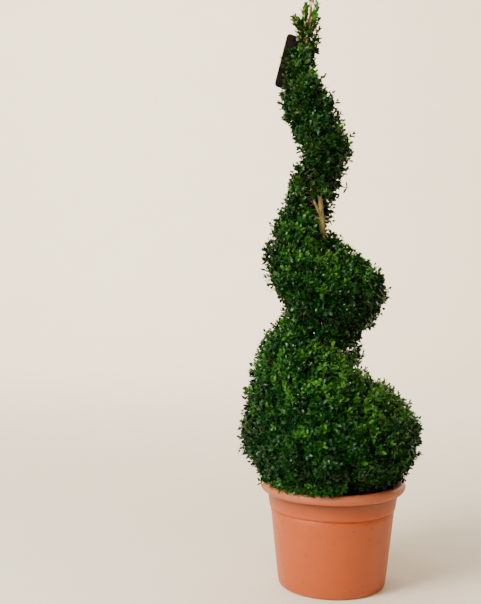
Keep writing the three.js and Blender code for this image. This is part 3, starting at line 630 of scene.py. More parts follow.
def tubes(paths, radii, sides):
    """Tubes along paths of shape (count, steps, 3), with radii of shape (count, steps)."""
    count, steps, _ = paths.shape
    along = unit(np.gradient(paths, axis=1))
    steep = np.abs(along[:, :1, 2:]) > 0.9
    side = np.where(steep, np.array([1.0, 0.0, 0.0]), np.array([0.0, 0.0, 1.0]))
    u = unit(np.cross(np.broadcast_to(side, along.shape), along))
    v = np.cross(along, u)
    angle = np.arange(sides) / sides * 2 * np.pi
    ring = u[:, :, None] * np.cos(angle)[:, None] + v[:, :, None] * np.sin(angle)[:, None]
    points = paths[:, :, None] + ring * radii[:, :, None, None]
    quads = np.arange(count)[:, None, None] * steps * sides + ring_quads(steps, sides)
    return points.reshape(-1, 3), quads.reshape(-1, 4)


def triangles_of(quads):
    """Each four-sided face as two triangles."""
    return np.concatenate((quads[:, (0, 1, 2)], quads[:, (0, 2, 3)]))


def joined(parts):
    """Point and face arrays of several parts as one."""
    offset = 0
    points, faces = [], []
    for part_points, part_faces in parts:
        points.append(part_points)
        faces.append(part_faces + offset)
        offset += len(part_points)
    return np.concatenate(points), np.concatenate(faces)


# One leaf lies along x from its stalk to its tip, across y, with its glossy face up. It is domed from
# side to side and its tip bends down. Columns are the share of its length, of its width and of its
# length again for the height.
LEAF_POINTS = np.array((
    (0.00, 0.00, 0.00), (0.50, 0.00, 0.07), (1.00, 0.00, -0.09),
    (0.20, 0.34, 0.02), (0.50, 0.50, 0.00), (0.82, 0.34, -0.05),
    (0.20, -0.34, 0.02), (0.50, -0.50, 0.00), (0.82, -0.34, -0.05),
))
LEAF_FACES = np.array((
    (0, 1, 3), (3, 1, 4), (4, 1, 5), (5, 1, 2),
    (0, 6, 1), (6, 7, 1), (7, 8, 1), (8, 2, 1),
))


def leaves(roots, directions, faces_up, lengths, widths):
    """Leaves as point and face arrays."""
    across = unit(np.cross(faces_up, directions))
    up = np.cross(directions, across)
    scale = lengths[:, None, None]
    points = roots[:, None] + directions[:, None] * LEAF_POINTS[:, :1] * scale
    points = points + across[:, None] * LEAF_POINTS[:, 1:2] * widths[:, None, None]
    points = points + up[:, None] * LEAF_POINTS[:, 2:] * scale
    first = np.arange(len(roots)) * len(LEAF_POINTS)
    faces = first[:, None, None] + LEAF_FACES
    return points.reshape(-1, 3), faces.reshape(-1, 3)


# Materials

def link(node, links):
    """Links sockets to a node's inputs. A node among the links stands for its first output."""
    for key, source in dict(links).items():
        socket = source.outputs[0] if isinstance(source, bpy.types.Node) else source
        node.id_data.links.new(socket, node.inputs[key])


def add_node(tree, kind, settings=(), links=()):
    """Adds a node to a tree, with its settings or input values and the links to its inputs."""
    node = tree.nodes.new(kind)
    for key, value in dict(settings).items():
        if isinstance(key, str) and hasattr(node, key):
            setattr(node, key, value)
        else:
            node.inputs[key].default_value = value
    link(node, links)
    return node


def blank_material(name, **values):
    """A new material, the function that adds its nodes, its shader with single values set, and the
    place in object space."""
    material = bpy.data.materials.new(name)
    material.use_nodes = True
    shader = material.node_tree.nodes["Principled BSDF"]
    for key, value in values.items():
        shader.inputs[key.replace("_", " ")].default_value = value
    add = functools.partial(add_node, material.node_tree)
    return material, add, shader, add("ShaderNodeTexCoord").outputs["Object"]


def rgba(colour):
    """A colour with full opacity."""
    return (*colour, 1.0)


def moulded_polypropylene(colour):
    """Satin terracotta-coloured polypropylene from a polished mould. The eye sees an even body colour
    with a broad soft highlight, a faint flow mottle, grey-brown scuffs, a painted highlight as a pale
    band over the roll, painted shade as a dark brown band under it, and soil splashed at the foot."""
    material, add, shader, place = blank_material("moulded polypropylene", IOR=1.49)
    mottle = add("ShaderNodeTexNoise", {"Scale": 22.0, "Detail": 4.0}, {"Vector": place})
    dark = tuple(c * 0.84 for c in colour)
    body = add("ShaderNodeMix", {"data_type": "RGBA", 6: rgba(dark), 7: rgba(colour)}, {0: mottle})
    stretched = add("ShaderNodeMapping", {"Scale": (38.0, 38.0, 60.0)}, {"Vector": place})
    marks = add("ShaderNodeTexNoise", {"Scale": 1.0, "Detail": 7.0, "Roughness": 0.72},
                {"Vector": stretched})
    height = add("ShaderNodeSeparateXYZ", {}, {"Vector": place}).outputs["Z"]
    # The scuffs and splashes are marks on the plastic; the pale tan band over the roll is a painted
    # highlight
    scuffs, roll_shade_ramp, painted_roll_highlight, splash = (
        add("ShaderNodeMapRange", {"From Min": low, "From Max": high, "To Min": 0.0, "To Max": most},
            {"Value": source})
        for source, (low, high), most in ((marks, SCUFF_MARKS, 0.5), (height, ROLL_SHADE_Z, 0.8),
                                          (height, ROLL_HIGHLIGHT_Z, 0.28), (height, SPLASH_Z, 0.5)))
    # Painted shade: a dark brown band on the wall just under the roll, where the roll overhangs it
    below_roll = add("ShaderNodeMath", {"operation": "LESS_THAN", 1: ROLL_SHADE_END}, {0: height})
    painted_roll_shade = add("ShaderNodeMath", {"operation": "MULTIPLY"}, {0: roll_shade_ramp, 1: below_roll})
    soil = add("ShaderNodeMath", {"operation": "MULTIPLY"}, {0: splash, 1: marks})
    # The marks, the painted shade and the painted highlight lie over the body colour and over each other
    coat = body.outputs[2]
    for code, share in (("#643A24", scuffs), ("#5E2A12", painted_roll_shade), ("#AE8A76", painted_roll_highlight), ("#7A5138", soil)):
        over = add("ShaderNodeMix", {"data_type": "RGBA", 7: rgba(linear(code))}, {0: share, 6: coat})
        coat = over.outputs[2]
    gloss = add("ShaderNodeMapRange", {"To Min": 0.36, "To Max": 0.52}, {"Value": marks})
    # Orange peel of a moulded skin, about 1.5 mm across
    peel = add("ShaderNodeTexNoise", {"Scale": 650.0, "Detail": 2.0}, {"Vector": place})
    bump = add("ShaderNodeBump", {"Strength": 0.25, "Distance": 0.0002}, {"Height": peel})
    link(shader, {"Base Color": coat, "Roughness": gloss, "Normal": bump})
    return material


def glossy_leaf(name, colour, roughness):
    """A box leaf: thick, waxy and domed, so each one gives a small pale glint. The tint is plain, and
    the blade's fine unevenness, about 3 mm across, breaks the glint up."""
    material, add, shader, place = blank_material(
        name, Base_Color=rgba(colour), IOR=1.45, Specular_IOR_Level=0.34,
        Specular_Tint=rgba(linear("#DCFFF0")))
    wax = add("ShaderNodeTexNoise", {"Scale": 330.0, "Detail": 2.0}, {"Vector": place})
    gloss = add("ShaderNodeMapRange", {"To Min": roughness - 0.08, "To Max": roughness + 0.1},
                {"Value": wax})
    bump = add("ShaderNodeBump", {"Strength": 0.3, "Distance": 0.0005}, {"Height": wax})
    link(shader, {"Roughness": gloss, "Normal": bump})
    return material


def furrowed_bark(name, pale, dark, furrow):
    """Thin khaki bark of a young stem: matt, with fine lengthwise furrows and darker flakes.
    The furrow is the distance between furrows in metres."""
    material, add, shader, place = blank_material(name, Roughness=0.82)
    stretched = add("ShaderNodeMapping", {"Scale": (1.0, 1.0, 0.16)}, {"Vector": place})
    furrows = add("ShaderNodeTexNoise", {"Scale": 1 / furrow, "Detail": 5.0, "Roughness": 0.65},
                  {"Vector": stretched})
    colours = add("ShaderNodeValToRGB", {}, {"Fac": furrows})
    for stop, position, colour in zip(colours.color_ramp.elements, (0.36, 0.62), (dark, pale)):
        stop.position = position
        stop.color = rgba(colour)
    bump = add("ShaderNodeBump", {"Strength": 0.8, "Distance": 0.0012}, {"Height": furrows})
    link(shader, {"Base Color": colours, "Normal": bump})
    return material


def crumbly_compost(name, dark, pale):
    """Moist peat-free compost: matt dark crumbs of 2 to 8 mm with a few paler fibres."""
    material, add, shader, place = blank_material(name, Roughness=0.95)
    crumbs = add("ShaderNodeTexVoronoi", {"Scale": 180.0}, {"Vector": place})
    grain = add("ShaderNodeTexNoise", {"Scale": 300.0, "Detail": 6.0}, {"Vector": place})
    shade = add("ShaderNodeMath", {"operation": "MULTIPLY"}, {0: crumbs, 1: grain})
    body = add("ShaderNodeMix", {"data_type": "RGBA", 6: rgba(dark), 7: rgba(pale)}, {0: shade})
    bump = add("ShaderNodeBump", {"Strength": 0.9, "Distance": 0.003}, {"Height": shade})
    link(shader, {"Base Color": body.outputs[2], "Normal": bump})
    return material


def satin_card(colour):
    """The plain dark polypropylene card of a plant label: satin, with faint rubbed patches."""
    material, add, shader, place = blank_material("satin label card", IOR=1.49, Specular_IOR_Level=0.3)
    rub = add("ShaderNodeTexNoise", {"Scale": 70.0, "Detail": 5.0}, {"Vector": place})
    pale = tuple(0.004 + c * 1.3 for c in colour)
    body = add("ShaderNodeMix", {"data_type": "RGBA", 6: rgba(colour), 7: rgba(pale)}, {0: rub})
    gloss = add("ShaderNodeMapRange", {"To Min": 0.3, "To Max": 0.5}, {"Value": rub})
    link(shader, {"Base Color": body.outputs[2], "Roughness": gloss})
    return material


def pale_plaster(name, colour):
    """The stage's smooth pale floor, matt with a faint mottle so that shadows read on it."""
    material, add, shader, place = blank_material(name, Roughness=0.7)
    mottle = add("ShaderNodeTexNoise", {"Scale": 3.0, "Detail": 4.0}, {"Vector": place})
    dark = tuple(c * 0.95 for c in colour)
    body = add("ShaderNodeMix", {"data_type": "RGBA", 6: rgba(dark), 7: rgba(colour)}, {0: mottle})
    link(shader, {"Base Color": body.outputs[2]})
    return material


# Settings that a user would change

def colour_setting(name, description, code):
    """A colour that a user can change, from its hex code."""
    return bpy.props.FloatVectorProperty(
        name=name, description=description, subtype="COLOR", size=3, min=0, max=1, default=linear(code))


def length_setting(name, description, default):
    """A length that a user can change, in metres."""
    return bpy.props.FloatProperty(
        name=name, description=description, unit="LENGTH", min=0.0001, precision=4, default=default)


class PotSettings(bpy.types.PropertyGroup):
    plastic: colour_setting("Plastic", "Body colour of the moulded pot", "#AE4A13")
    compost: colour_setting("Compost", "Main colour of the compost", "#46342A")
    sides: bpy.props.IntProperty(name="Sides", description="Faces round the pot", min=24, default=160)


class PlantSettings(bpy.types.PropertyGroup):
    leaf_length: length_setting("Leaf length", "Length of a grown leaf", 0.0190)
    leaf_width: length_setting("Leaf width", "Width of a grown leaf", 0.0102)
    spray_spacing: length_setting("Spray spacing", "Distance between leafy twig tips", 0.0142)
    inner_spacing: length_setting("Inner spacing", "Distance between the shaded twigs behind them", 0.0230)
    bough_spacing: length_setting("Bough spacing", "Distance between the ends of the side boughs", 0.0700)
    bark: colour_setting("Bark", "Pale colour of the trunk's bark", "#998B52")
    old_leaf: colour_setting("Old leaf", "Shaded older leaves", "#072B03")
    dark_leaf: colour_setting("Dark leaf", "Most grown leaves", "#063202")
    blue_leaf: colour_setting("Blue leaf", "Grown leaves with a bluish bloom", "#0A3216")
    mid_leaf: colour_setting("Mid leaf", "Leaves in the light", "#1A4A10")
    fresh_leaf: colour_setting("Fresh leaf", "This year's leaves", "#35691A")
    new_leaf: colour_setting("New leaf", "Young shoots on the upward shoulders", "#4C722A")
    brown_leaf: colour_setting("Brown leaf", "A few dried leaves", "#463C22")
    olive_leaf: colour_setting("Olive leaf", "Sunned leaves of the upper turns", "#2A461A")
    label: colour_setting("Label", "Colour of the plain label card", "#120D0B")


class StageSettings(bpy.types.PropertyGroup):
    floor: colour_setting("Floor", "Colour of the plain floor", "#F8EFDC")
    key_power: bpy.props.FloatProperty(
        name="Key light", description="Power of the large light at the upper left", unit="POWER",
        default=214)
    daylight: bpy.props.FloatProperty(
        name="Daylight", description="Strength of the soft even light from the upper left", default=0.35)
    wall_power: bpy.props.FloatProperty(
        name="Wall wash", description="Power of the light on the wall behind", unit="POWER", default=1150)


# The pieces

def even_wall(z):
    """The outer radius of the wall's even taper from the foot."""
    return FOOT_RADIUS + (BAND_BOTTOM_RADIUS - FOOT_RADIUS) * z / BAND_BOTTOM


def pot_outer_radius(z):
    """The wall's outer radius, tapered below the band and stepped out above it."""
    if z < BAND_BOTTOM:
        return even_wall(z)
    low = BAND_BOTTOM_RADIUS + BAND_PROUD
    return low + (BAND_TOP_RADIUS - low) * part_way(z, BAND_BOTTOM, ROLL_NECK)


def pot_inner_radius(z):
    """The wall's inner radius, an even taper all the way up."""
    return even_wall(z) - WALL


def arc(centre_radius, centre_z, radius, start, end, steps):
    """Points of an arc in a lathe profile, with angles in degrees."""
    angles = np.radians(np.linspace(start, end, steps + 1))
    return [(centre_radius + radius * math.cos(a), centre_z + radius * math.sin(a)) for a in angles]


def mesh_data(name, mesh):
    """A finished bmesh as mesh data."""
    data = bpy.data.meshes.new(name)
    mesh.to_mesh(data)
    mesh.free()
    return data


def lathe(name, profile, sides):
    """A profile of (radius, z) turned round the Z axis, as mesh data. Its ends lie on the axis."""
    mesh = bmesh.new()
    vertices = [mesh.verts.new((radius, 0, z)) for radius, z in profile]
    edges = [mesh.edges.new(pair) for pair in zip(vertices, vertices[1:])]
    bmesh.ops.spin(mesh, geom=vertices + edges, axis=(0, 0, 1), cent=(0, 0, 0),
                   angle=2 * math.pi, steps=sides, use_merge=True)
    bmesh.ops.remove_doubles(mesh, verts=mesh.verts, dist=1e-6)
    bmesh.ops.dissolve_degenerate(mesh, edges=mesh.edges, dist=1e-6)
    bmesh.ops.recalc_face_normals(mesh, faces=mesh.faces)
    return mesh_data(name, mesh)


def cut_drain_holes(name, solid):
    """Drills the ring of round holes through the pot's floor."""
    drills = bmesh.new()
    for i in range(DRAIN_HOLES):
        angle = 2 * math.pi * i / DRAIN_HOLES
        place = (DRAIN_CIRCLE * math.cos(angle), DRAIN_CIRCLE * math.sin(angle), 0)
        bmesh.ops.create_cone(drills, cap_ends=True, segments=32, radius1=DRAIN_RADIUS,
                              radius2=DRAIN_RADIUS, depth=4 * FLOOR, matrix=Matrix.Translation(place))
    body = bpy.data.objects.new("pot body", solid)
    tool = bpy.data.objects.new("drills", mesh_data("drills", drills))
    for item in (body, tool):
        bpy.context.scene.collection.objects.link(item)
    cut = body.modifiers.new("drain holes", "BOOLEAN")
    cut.operation = "DIFFERENCE"
    cut.object = tool
    bpy.context.view_layer.update()
    evaluated = body.evaluated_get(bpy.context.evaluated_depsgraph_get())
    result = bpy.data.meshes.new_from_object(evaluated)
    result.name = name
    for item in (body, tool):
        bpy.data.objects.remove(item)
    return result


class TOPIARY_OT_pot(bpy.types.Operator):
    """Turn the moulded pot with its rolled rim, band and drain holes"""
    bl_idname = "topiary.pot"
    bl_label = "Pot"

    def execute(self, context):
        settings = context.scene.topiary_pot
        roll_radius, roll_z = RIM_RADIUS - ROLL_RADIUS, POT_HEIGHT - ROLL_RADIUS
        step = BAND_STEP / 2
        profile = [(0, 0), (FOOT_RADIUS - FOOT_ROUNDING - FOOT_INSET, 0)]
        profile += arc(FOOT_RADIUS - FOOT_ROUNDING, FOOT_ROUNDING, FOOT_ROUNDING, -90, 0, 8)
        profile += [(pot_outer_radius(z), z) for z in np.linspace(WALL_START, BAND_BOTTOM - 3 * step, 12)]
        groove_radius = pot_outer_radius(BAND_BOTTOM - step) - BAND_GROOVE
        profile += [(groove_radius, BAND_BOTTOM - step), (groove_radius, BAND_BOTTOM)]
        profile += [(pot_outer_radius(z), z) for z in np.linspace(BAND_BOTTOM + step, ROLL_NECK, 5)]
        profile += [(BAND_TOP_RADIUS + 0.001, roll_z - 0.8 * ROLL_RADIUS)]
        profile += arc(roll_radius, roll_z, ROLL_RADIUS, *ROLL_ARC, 22)
        lip = roll_radius + ROLL_RADIUS * math.cos(math.radians(ROLL_ARC[1]))
        profile += [(lip - WALL, roll_z + 0.5 * ROLL_RADIUS), (pot_inner_radius(roll_z), roll_z - WALL)]
        profile += [(pot_inner_radius(z), z) for z in np.linspace(ROLL_NECK, FLOOR + FLOOR_ROUNDING, 8)]
        profile += [(pot_inner_radius(FLOOR) - FLOOR_ROUNDING, FLOOR), (0, FLOOR)]
        mesh = cut_drain_holes("moulded_pot", lathe("turned pot", profile, settings.sides))
        finish_piece("moulded_pot", mesh, [moulded_polypropylene(settings.plastic)], ["pot"])
        return {"FINISHED"}


class TOPIARY_OT_compost(bpy.types.Operator):
    """Fill the pot with crumbly compost and scatter bark chips on it"""
    bl_idname = "topiary.compost"
    bl_label = "Compost"

    def execute(self, context):
        settings = context.scene.topiary_pot
        random = np.random.default_rng(SOIL_SEED)
        edge = pot_inner_radius(SOIL_TOP - SOIL_EDGE_DROP) - SOIL_CLEARANCE
        angles = np.arange(SOIL_SIDES) / SOIL_SIDES * 2 * np.pi
        radii = np.linspace(SOIL_CENTRE, edge, SOIL_RINGS)
        radius, angle = np.meshgrid(radii, angles, indexing="ij")
        crown = part_way(radius, SOIL_CROWN_RADIUS, edge)
        flat = ring_points(radius, angle, 0 * radius).reshape(-1, 3)
        lumps = sum(height * patches(flat, width, seed) for height, width, seed in SOIL_LUMPS)
        lumps += CRUMB_HEIGHT * random.normal(size=len(flat))
        lumps[radius.ravel() > edge - SOIL_FLAT_EDGE] = 0
        flat[:, 2] = SOIL_TOP - SOIL_SETTLED - SOIL_EDGE_DROP * crown.ravel() ** 1.5 + lumps
        foot_radius = pot_inner_radius(FLOOR) - FLOOR_ROUNDING - SOIL_FOOT_ROOM
        under = ring_points(foot_radius, angles, np.full(SOIL_SIDES, FLOOR + SOIL_FOOT_LIFT))
        rings = np.concatenate((flat, under, under * (0.01, 0.01, 1)))
        quads = ring_quads(SOIL_RINGS + 2, SOIL_SIDES)[:, (0, 3, 2, 1)]
        body = (rings, triangles_of(quads))

        chip_radius = edge * np.sqrt(random.uniform(0.01, 0.9, CHIPS))
        chip_angle = random.uniform(0, 2 * np.pi, CHIPS)
        roots = ring_points(chip_radius, chip_angle, np.full(CHIPS, SOIL_TOP - SOIL_SETTLED))
        way = unit(random.normal(size=(CHIPS, 3)) * (1, 1, CHIP_STEEPNESS))
        lengths = random.uniform(*CHIP_LENGTHS, CHIPS)
        ends = roots + way * lengths[:, None]
        girths = lengths * random.uniform(*CHIP_GIRTHS, CHIPS)
        chips, chip_quads = tubes(np.stack((roots, (roots + ends) / 2, ends), 1),
                                  girths[:, None] * np.array(CHIP_TAPER), 5)
        points, faces = joined([body, (chips, triangles_of(chip_quads))])
        kinds = np.repeat((0, 1), (len(body[1]), 2 * len(chip_quads)))
        materials = [crumbly_compost("moist compost", settings.compost, linear("#6B5140")),
                     furrowed_bark("bark chips", linear("#6E4E34"), linear("#33241A"), CHIP_FURROW)]
        mesh_piece("compost_bed", points, faces, materials, "bark_compost", ["compost"], kinds)
        return {"FINISHED"}


def barked_limb(path, radii, sides, relief, seed):
    """A limb along a path of points, with lengthwise ridges of the given relief and a few knots."""
    points, quads = tubes(path[None], radii[None], sides)
    rings = points.reshape(len(path), sides, 3)
    offset = rings - path[:, None]
    stretched = (rings * (1, 1, RIDGE_STRETCH)).reshape(-1, 3)
    ridges = patches(stretched, RIDGE_WIDTH, seed)
    ridges += FINE_RIDGE_SHARE * patches(stretched, FINE_RIDGE_WIDTH, seed + 1)
    knots = np.maximum(patches(rings.reshape(-1, 3), KNOT_GAP, seed + 2) - KNOT_LEVEL, 0)
    swell = 1 + relief * ridges + KNOT_SWELL * knots
    rings = path[:, None] + offset * swell.reshape(len(path), sides, 1)
    return rings.reshape(-1, 3), triangles_of(quads)


class TOPIARY_OT_trunk(bpy.types.Operator):
    """Grow the leaning trunk with its root flare, and the boughs that show"""
    bl_idname = "topiary.trunk"
    bl_label = "Trunk and boughs"

    def execute(self, context):
        plant = context.scene.topiary_plant
        bark = furrowed_bark("furrowed khaki bark", plant.bark, linear("#5F5331"), TRUNK_FURROW)
        heights = np.concatenate((np.arange(SOIL_TOP, TRUNK_Z[-1], TRUNK_RING_GAP), [TRUNK_Z[-1]]))
        radii = trunk_radius(heights)
        radii[-1] *= TRUNK_POINT
        trunk = barked_limb(trunk_axis(heights), radii, TRUNK_SIDES, TRUNK_RELIEF, TRUNK_SEED)
        mesh_piece("trunk_bark", *trunk, [bark], "bark", ["trunk"])
        limbs = []
        for i, (_, z, turn, reach, rise, radius) in enumerate(BOUGHS):
            path = shoot_path(z, turn, reach, rise, BOUGH_SAG * reach, BOUGH_RINGS)
            taper = radius * np.linspace(1, BOUGH_TIP, BOUGH_RINGS)
            limbs.append(barked_limb(path, taper, BOUGH_SIDES, BOUGH_RELIEF, BOUGH_SEED + i))
        mesh_piece("bough_bark", *joined(limbs), [bark], "bark", [row[0] for row in BOUGHS])
        return {"FINISHED"}


def side_boughs(form, start, end, spacing):
    """The axes and radii of a mass's side boughs, from the trunk to their ends inside its leafy shell."""
    shell = on_outline(form, *spread_over(form, start, end, spacing))
    axis = trunk_axis(shell[:, 2])
    offset = shell - axis
    radius = np.linalg.norm(offset, axis=1, keepdims=True)
    tips = axis + offset * np.maximum(SIDE_REACH, 1 - SIDE_DEPTH / np.maximum(radius, 0.01))
    tips += unit(offset) * np.minimum(unevenness(shell), 0)[:, None]
    tips = tips[tips[:, 2] < CLIPPED_TOP]
    foot_z = np.maximum(tips[:, 2] - SIDE_CLIMB * from_stem(tips) - SIDE_DROP, SOIL_TOP + SIDE_LOWEST)
    feet = trunk_axis(foot_z)
    length = np.linalg.norm(tips - feet, axis=1)
    radii = np.linspace(1, SIDE_TIP, SIDE_STEPS) * (SIDE_RADIUS + SIDE_GIRTH * length)[:, None]
    return bowed(feet, tips, SIDE_SAG * length, SIDE_STEPS), radii


def is_clear(points):
    """Whether points lie clear of the trunk, the pot's rim, the compost and the label."""
    z = points[..., 2]
    clear = from_stem(points) > trunk_radius(z) + LEAF_STEM_ROOM
    radius = np.linalg.norm(points[..., :2], axis=-1)
    clear &= (z > POT_HEIGHT + LEAF_ROOM) | (radius > RIM_RADIUS + LEAF_ROOM) | (radius < INSIDE_RIM)
    clear &= (z > SOIL_TOP + LEAF_ROOM) | (radius > RIM_RADIUS)
    card = np.asarray(label_place().inverted())
    local = points @ card[:3, :3].T + card[:3, 3]
    room = (LABEL_WIDTH / 2 + LEAF_ROOM, CARD_ROOM, LABEL_LENGTH / 2 + LEAF_ROOM)
    return clear & (np.abs(local) > room).any(-1)


def grow_sprays(form, start, end, spacing, depth, random):
    """Leafy twig tips of one mass: their places, directions and how much light they stand in."""
    turn, share = spread_over(form, start, end, spacing)
    turn = turn + random.normal(scale=SPRAY_SHIFT, size=len(turn))
    shell = on_outline(form, turn, share)
    normal = outward(form, turn, share)
    sunk = depth + random.uniform(0, 1, len(turn)) ** DEPTH_POWER * DEPTH_SPREAD
    sunk += HOLLOW_DEPTH * patches(shell, HOLLOW_WIDTH, HOLLOW_SEED)
    clumps = patches(shell, CLUMP_WIDTH, CLUMP_SEED)
    sunk -= CLUMP_RELIEF * clumps
    strays = random.uniform(0, 1, len(turn)) < STRAY_SHARE
    sunk = np.where(strays, depth - random.uniform(*STRAY_REACH, len(turn)), sunk) - unevenness(shell)
    tips = shell - normal * sunk[:, None]
    lean = random.normal(scale=SPRAY_LEAN, size=(len(turn), 3))
    direction = unit(normal + np.array((0, 0, SPRAY_LIFT)) + lean)
    z = tips[:, 2]
    kept = from_stem(tips) > trunk_radius(z) + STEM_CLEARANCE
    # A spray whose tip has sunk past the stem would stand bare on the other side
    same_side = (tips - trunk_axis(z)) * (shell - trunk_axis(shell[:, 2]))
    kept &= same_side[:, :2].sum(1) > 0
    kept &= random.uniform(size=len(turn)) > thinned(tips)
    kept &= z < CLIPPED_TOP
    # The light score picks the tints, so it paints light and shade into the leaves' colour
    light = UPWARD_LIGHT[form] * normal[:, 2]
    light += PATCH_LIGHT * patches(tips, PATCH_WIDTH, PATCH_SEED)
    light -= LEFT_SHADE * np.clip(-normal[:, 0], 0, 1)
    light += SHOULDER_LIGHT * np.clip(normal[:, 0], 0, 1) * np.clip(normal[:, 2], 0, 1)
    light -= UPPER_SHADE * part_way(z, *UPPER_Z)
    light += CLUMP_LIGHT * clumps + LIGHT_SPREAD * random.normal(size=len(turn))
    return tips[kept], direction[kept], light[kept]


def skirt_sprays(form, start, end, random):
    """The rows of sprays that hang over the pot's rim and in front of the open stem."""
    tips, ways = [np.zeros((0, 3))], [np.zeros((0, 3))]
    for row_form, first, last, radius, z in SKIRT_ROWS:
        first, last = max(start, first), min(end, last)
        if row_form != form or first >= last:
            continue
        count = int((last - first) * 2 * math.pi * radius / SKIRT_SPACING)
        angle = -2 * math.pi * random.uniform(first, last, count)
        out = ring_points(1, angle, 0 * angle)
        away = radius + random.uniform(*SKIRT_DEPTHS, count)
        height = z + random.uniform(*SKIRT_HEIGHTS, count)
        axis = trunk_axis(height) if form == "ramp" else height[:, None] * (0, 0, 1)
        tips.append(axis + out * away[:, None])
        lean = random.normal(scale=SKIRT_LEAN, size=(count, 3))
        ways.append(unit(out + (0, 0, SKIRT_LIFT) + lean))
    tips = np.concatenate(tips)
    # A low light score, so the mostly dark tints of the hanging sprays are partly painted shade
    light = random.normal(*SKIRT_LIGHT, len(tips))
    return tips, np.concatenate(ways), light


def tip_shoots(random):
    """The tip's upright shoots as limb paths, and the leafy nodes along them as sprays."""
    paths = np.stack([shoot_path(z, turn, reach, rise, SHOOT_SAG * rise, SHOOT_STEPS)
                      for z, turn, reach, rise in TIP_SHOOTS])
    tips, ways = [], []
    for path in paths:
        step = np.linalg.norm(np.diff(path, axis=0), axis=1)
        along = np.concatenate(([0], np.cumsum(step)))
        places = np.arange(along[-1], 1.2 * SHOOT_NODE_GAP, -SHOOT_NODE_GAP)
        nodes = np.stack([np.interp(places, along, path[:, i]) for i in range(3)], -1)
        tips.append(nodes)
        ways.append(unit(np.gradient(nodes[::-1], axis=0))[::-1])
    tips, ways = np.concatenate(tips), np.concatenate(ways)
    bare = from_stem(tips) < BARE_STEM_RADIUS
    bare &= (tips[:, 2] > BARE_STEM_Z[0]) & (tips[:, 2] < BARE_STEM_Z[1])
    tips, ways = tips[~bare], ways[~bare]
    ways = unit(ways + random.normal(scale=SHOOT_LEAN, size=ways.shape))
    # The light score picks their tints: paler at the very top, partly young growth and partly painted light
    light = random.normal(*SHOOT_LIGHT, len(tips))
    light += TOP_LIGHT * part_way(tips[:, 2], *TOP_LIGHT_Z)
    return paths, (tips, ways, light)


def belonging(points, places):
    """How far points belong to each place, from 0 to 1, as one row for each place."""
    offset = points - trunk_axis(points[:, 2])
    angle = np.arctan2(offset[:, 1], offset[:, 0])
    radius = np.linalg.norm(offset[:, :2], axis=1)
    rows = []
    for turn, z, half_width, half_height, _ in places:
        around = np.angle(np.exp(1j * (angle + turn * 2 * math.pi))) * radius
        off = np.hypot(around / half_width, (points[:, 2] - z) / half_height)
        rows.append(np.clip(1.6 - 0.8 * off, 0, 1))
    return np.stack(rows)


def thinned(points):
    """The share of sprays that the thin places leave out at points."""
    shares = np.array([place[-1] for place in THIN_PLACES])
    return (shares[:, None] * belonging(points, THIN_PLACES)).max(0)


def unevenness(points):
    """How far the clipped surface stands out at points."""
    heights = np.array([place[-1] for place in UNEVEN_PLACES])
    return heights @ belonging(points, UNEVEN_PLACES)


def spray_leaves(tips, directions, pairs, scale, plant, random):
    """The paired leaves of sprays. Each pair stands across the last one."""
    count = len(tips)
    roll = unit(np.cross(directions, random.normal(size=(count, 3))))
    other = np.cross(directions, roll)
    roots, ways, up, sizes, owner, order = [], [], [], [], [], []
    for pair in range(pairs):
        turn = pair * math.pi / 2 + random.normal(scale=PAIR_TWIST, size=count)
        side = roll * np.cos(turn)[:, None] + other * np.sin(turn)[:, None]
        back = FIRST_PAIR_BACK + pair * PAIR_GAP * random.uniform(*PAIR_GAPS, count)
        node = tips - directions * back[:, None]
        for sign in (1, -1):
            spread = PAIR_SPREAD[pair] + random.normal(scale=SPREAD_CHANCE, size=count)
            cosine, sine = np.cos(spread)[:, None], np.sin(spread)[:, None]
            way = directions * cosine + sign * side * sine
            ways.append(unit(way + random.normal(scale=LEAF_TILT, size=(count, 3))))
            up.append(unit(directions * sine - sign * side * cosine + (0, 0, LEAF_FACE_LIFT)))
            roots.append(node)
            sizes.append(PAIR_SCALE[pair] * scale * random.uniform(*LEAF_SIZES, count))
            owner.append(np.arange(count))
            order.append(np.full(count, pair))
    roots, ways, up, sizes, owner, order = map(np.concatenate, (roots, ways, up, sizes, owner, order))
    ends = roots + ways * (sizes * plant.leaf_length)[:, None]
    clear = is_clear(roots) & is_clear(ends) & is_clear((roots + ends) / 2)
    made = leaves(roots[clear], ways[clear], up[clear], plant.leaf_length * sizes[clear],
                  plant.leaf_width * sizes[clear])
    return made, owner[clear], order[clear]


def deal_tints(sprays, owner, order, random):
    """A tint for each leaf: its spray's by how much light that stands in, which paints light and shade as
    paler and darker tints besides the leaves' age; a fresher one at its tip, and more olive ones up the
    turns."""
    tips, _, light = sprays
    chance = random.uniform(size=(4, len(light)))
    olive = OLIVE_SHARE * part_way(tips[:, 2], *UPPER_Z)
    place = np.digitize(light, TINT_LIGHTS)
    body = BODY_TINTS[place]
    body = np.where((body == DARK) & (chance[0] < BLUE_SHARE), BLUE, body)
    tip = np.where(chance[1] < TIP_TINT_SHARE, TIP_TINTS[place], body)
    body = np.where(chance[3] < olive, OLIVE, body)
    tip = np.where((chance[3] < OLIVE_TIP_SHARE * olive) & (tip < FRESH), OLIVE, tip)
    body = np.where(chance[2] < BROWN_SHARE, BROWN, body)
    return np.where(order < TIP_PAIRS, tip[owner], body[owner])


def twigs_to(tips, ways, joints):
    """Twigs to leafy tips, each from the joint nearest to its foot."""
    back = ways * np.minimum(TWIG_LENGTH, TWIG_SHARE * from_stem(tips))[:, None]
    feet = tips - back
    near = np.linalg.norm(feet[:, None] - joints[None], axis=2).argmin(1)
    paths = np.stack((joints[near], feet, tips - TWIG_BEND * back, tips), 1)
    return tubes(paths, np.broadcast_to(TWIG_RADII, paths.shape[:2]), 3)


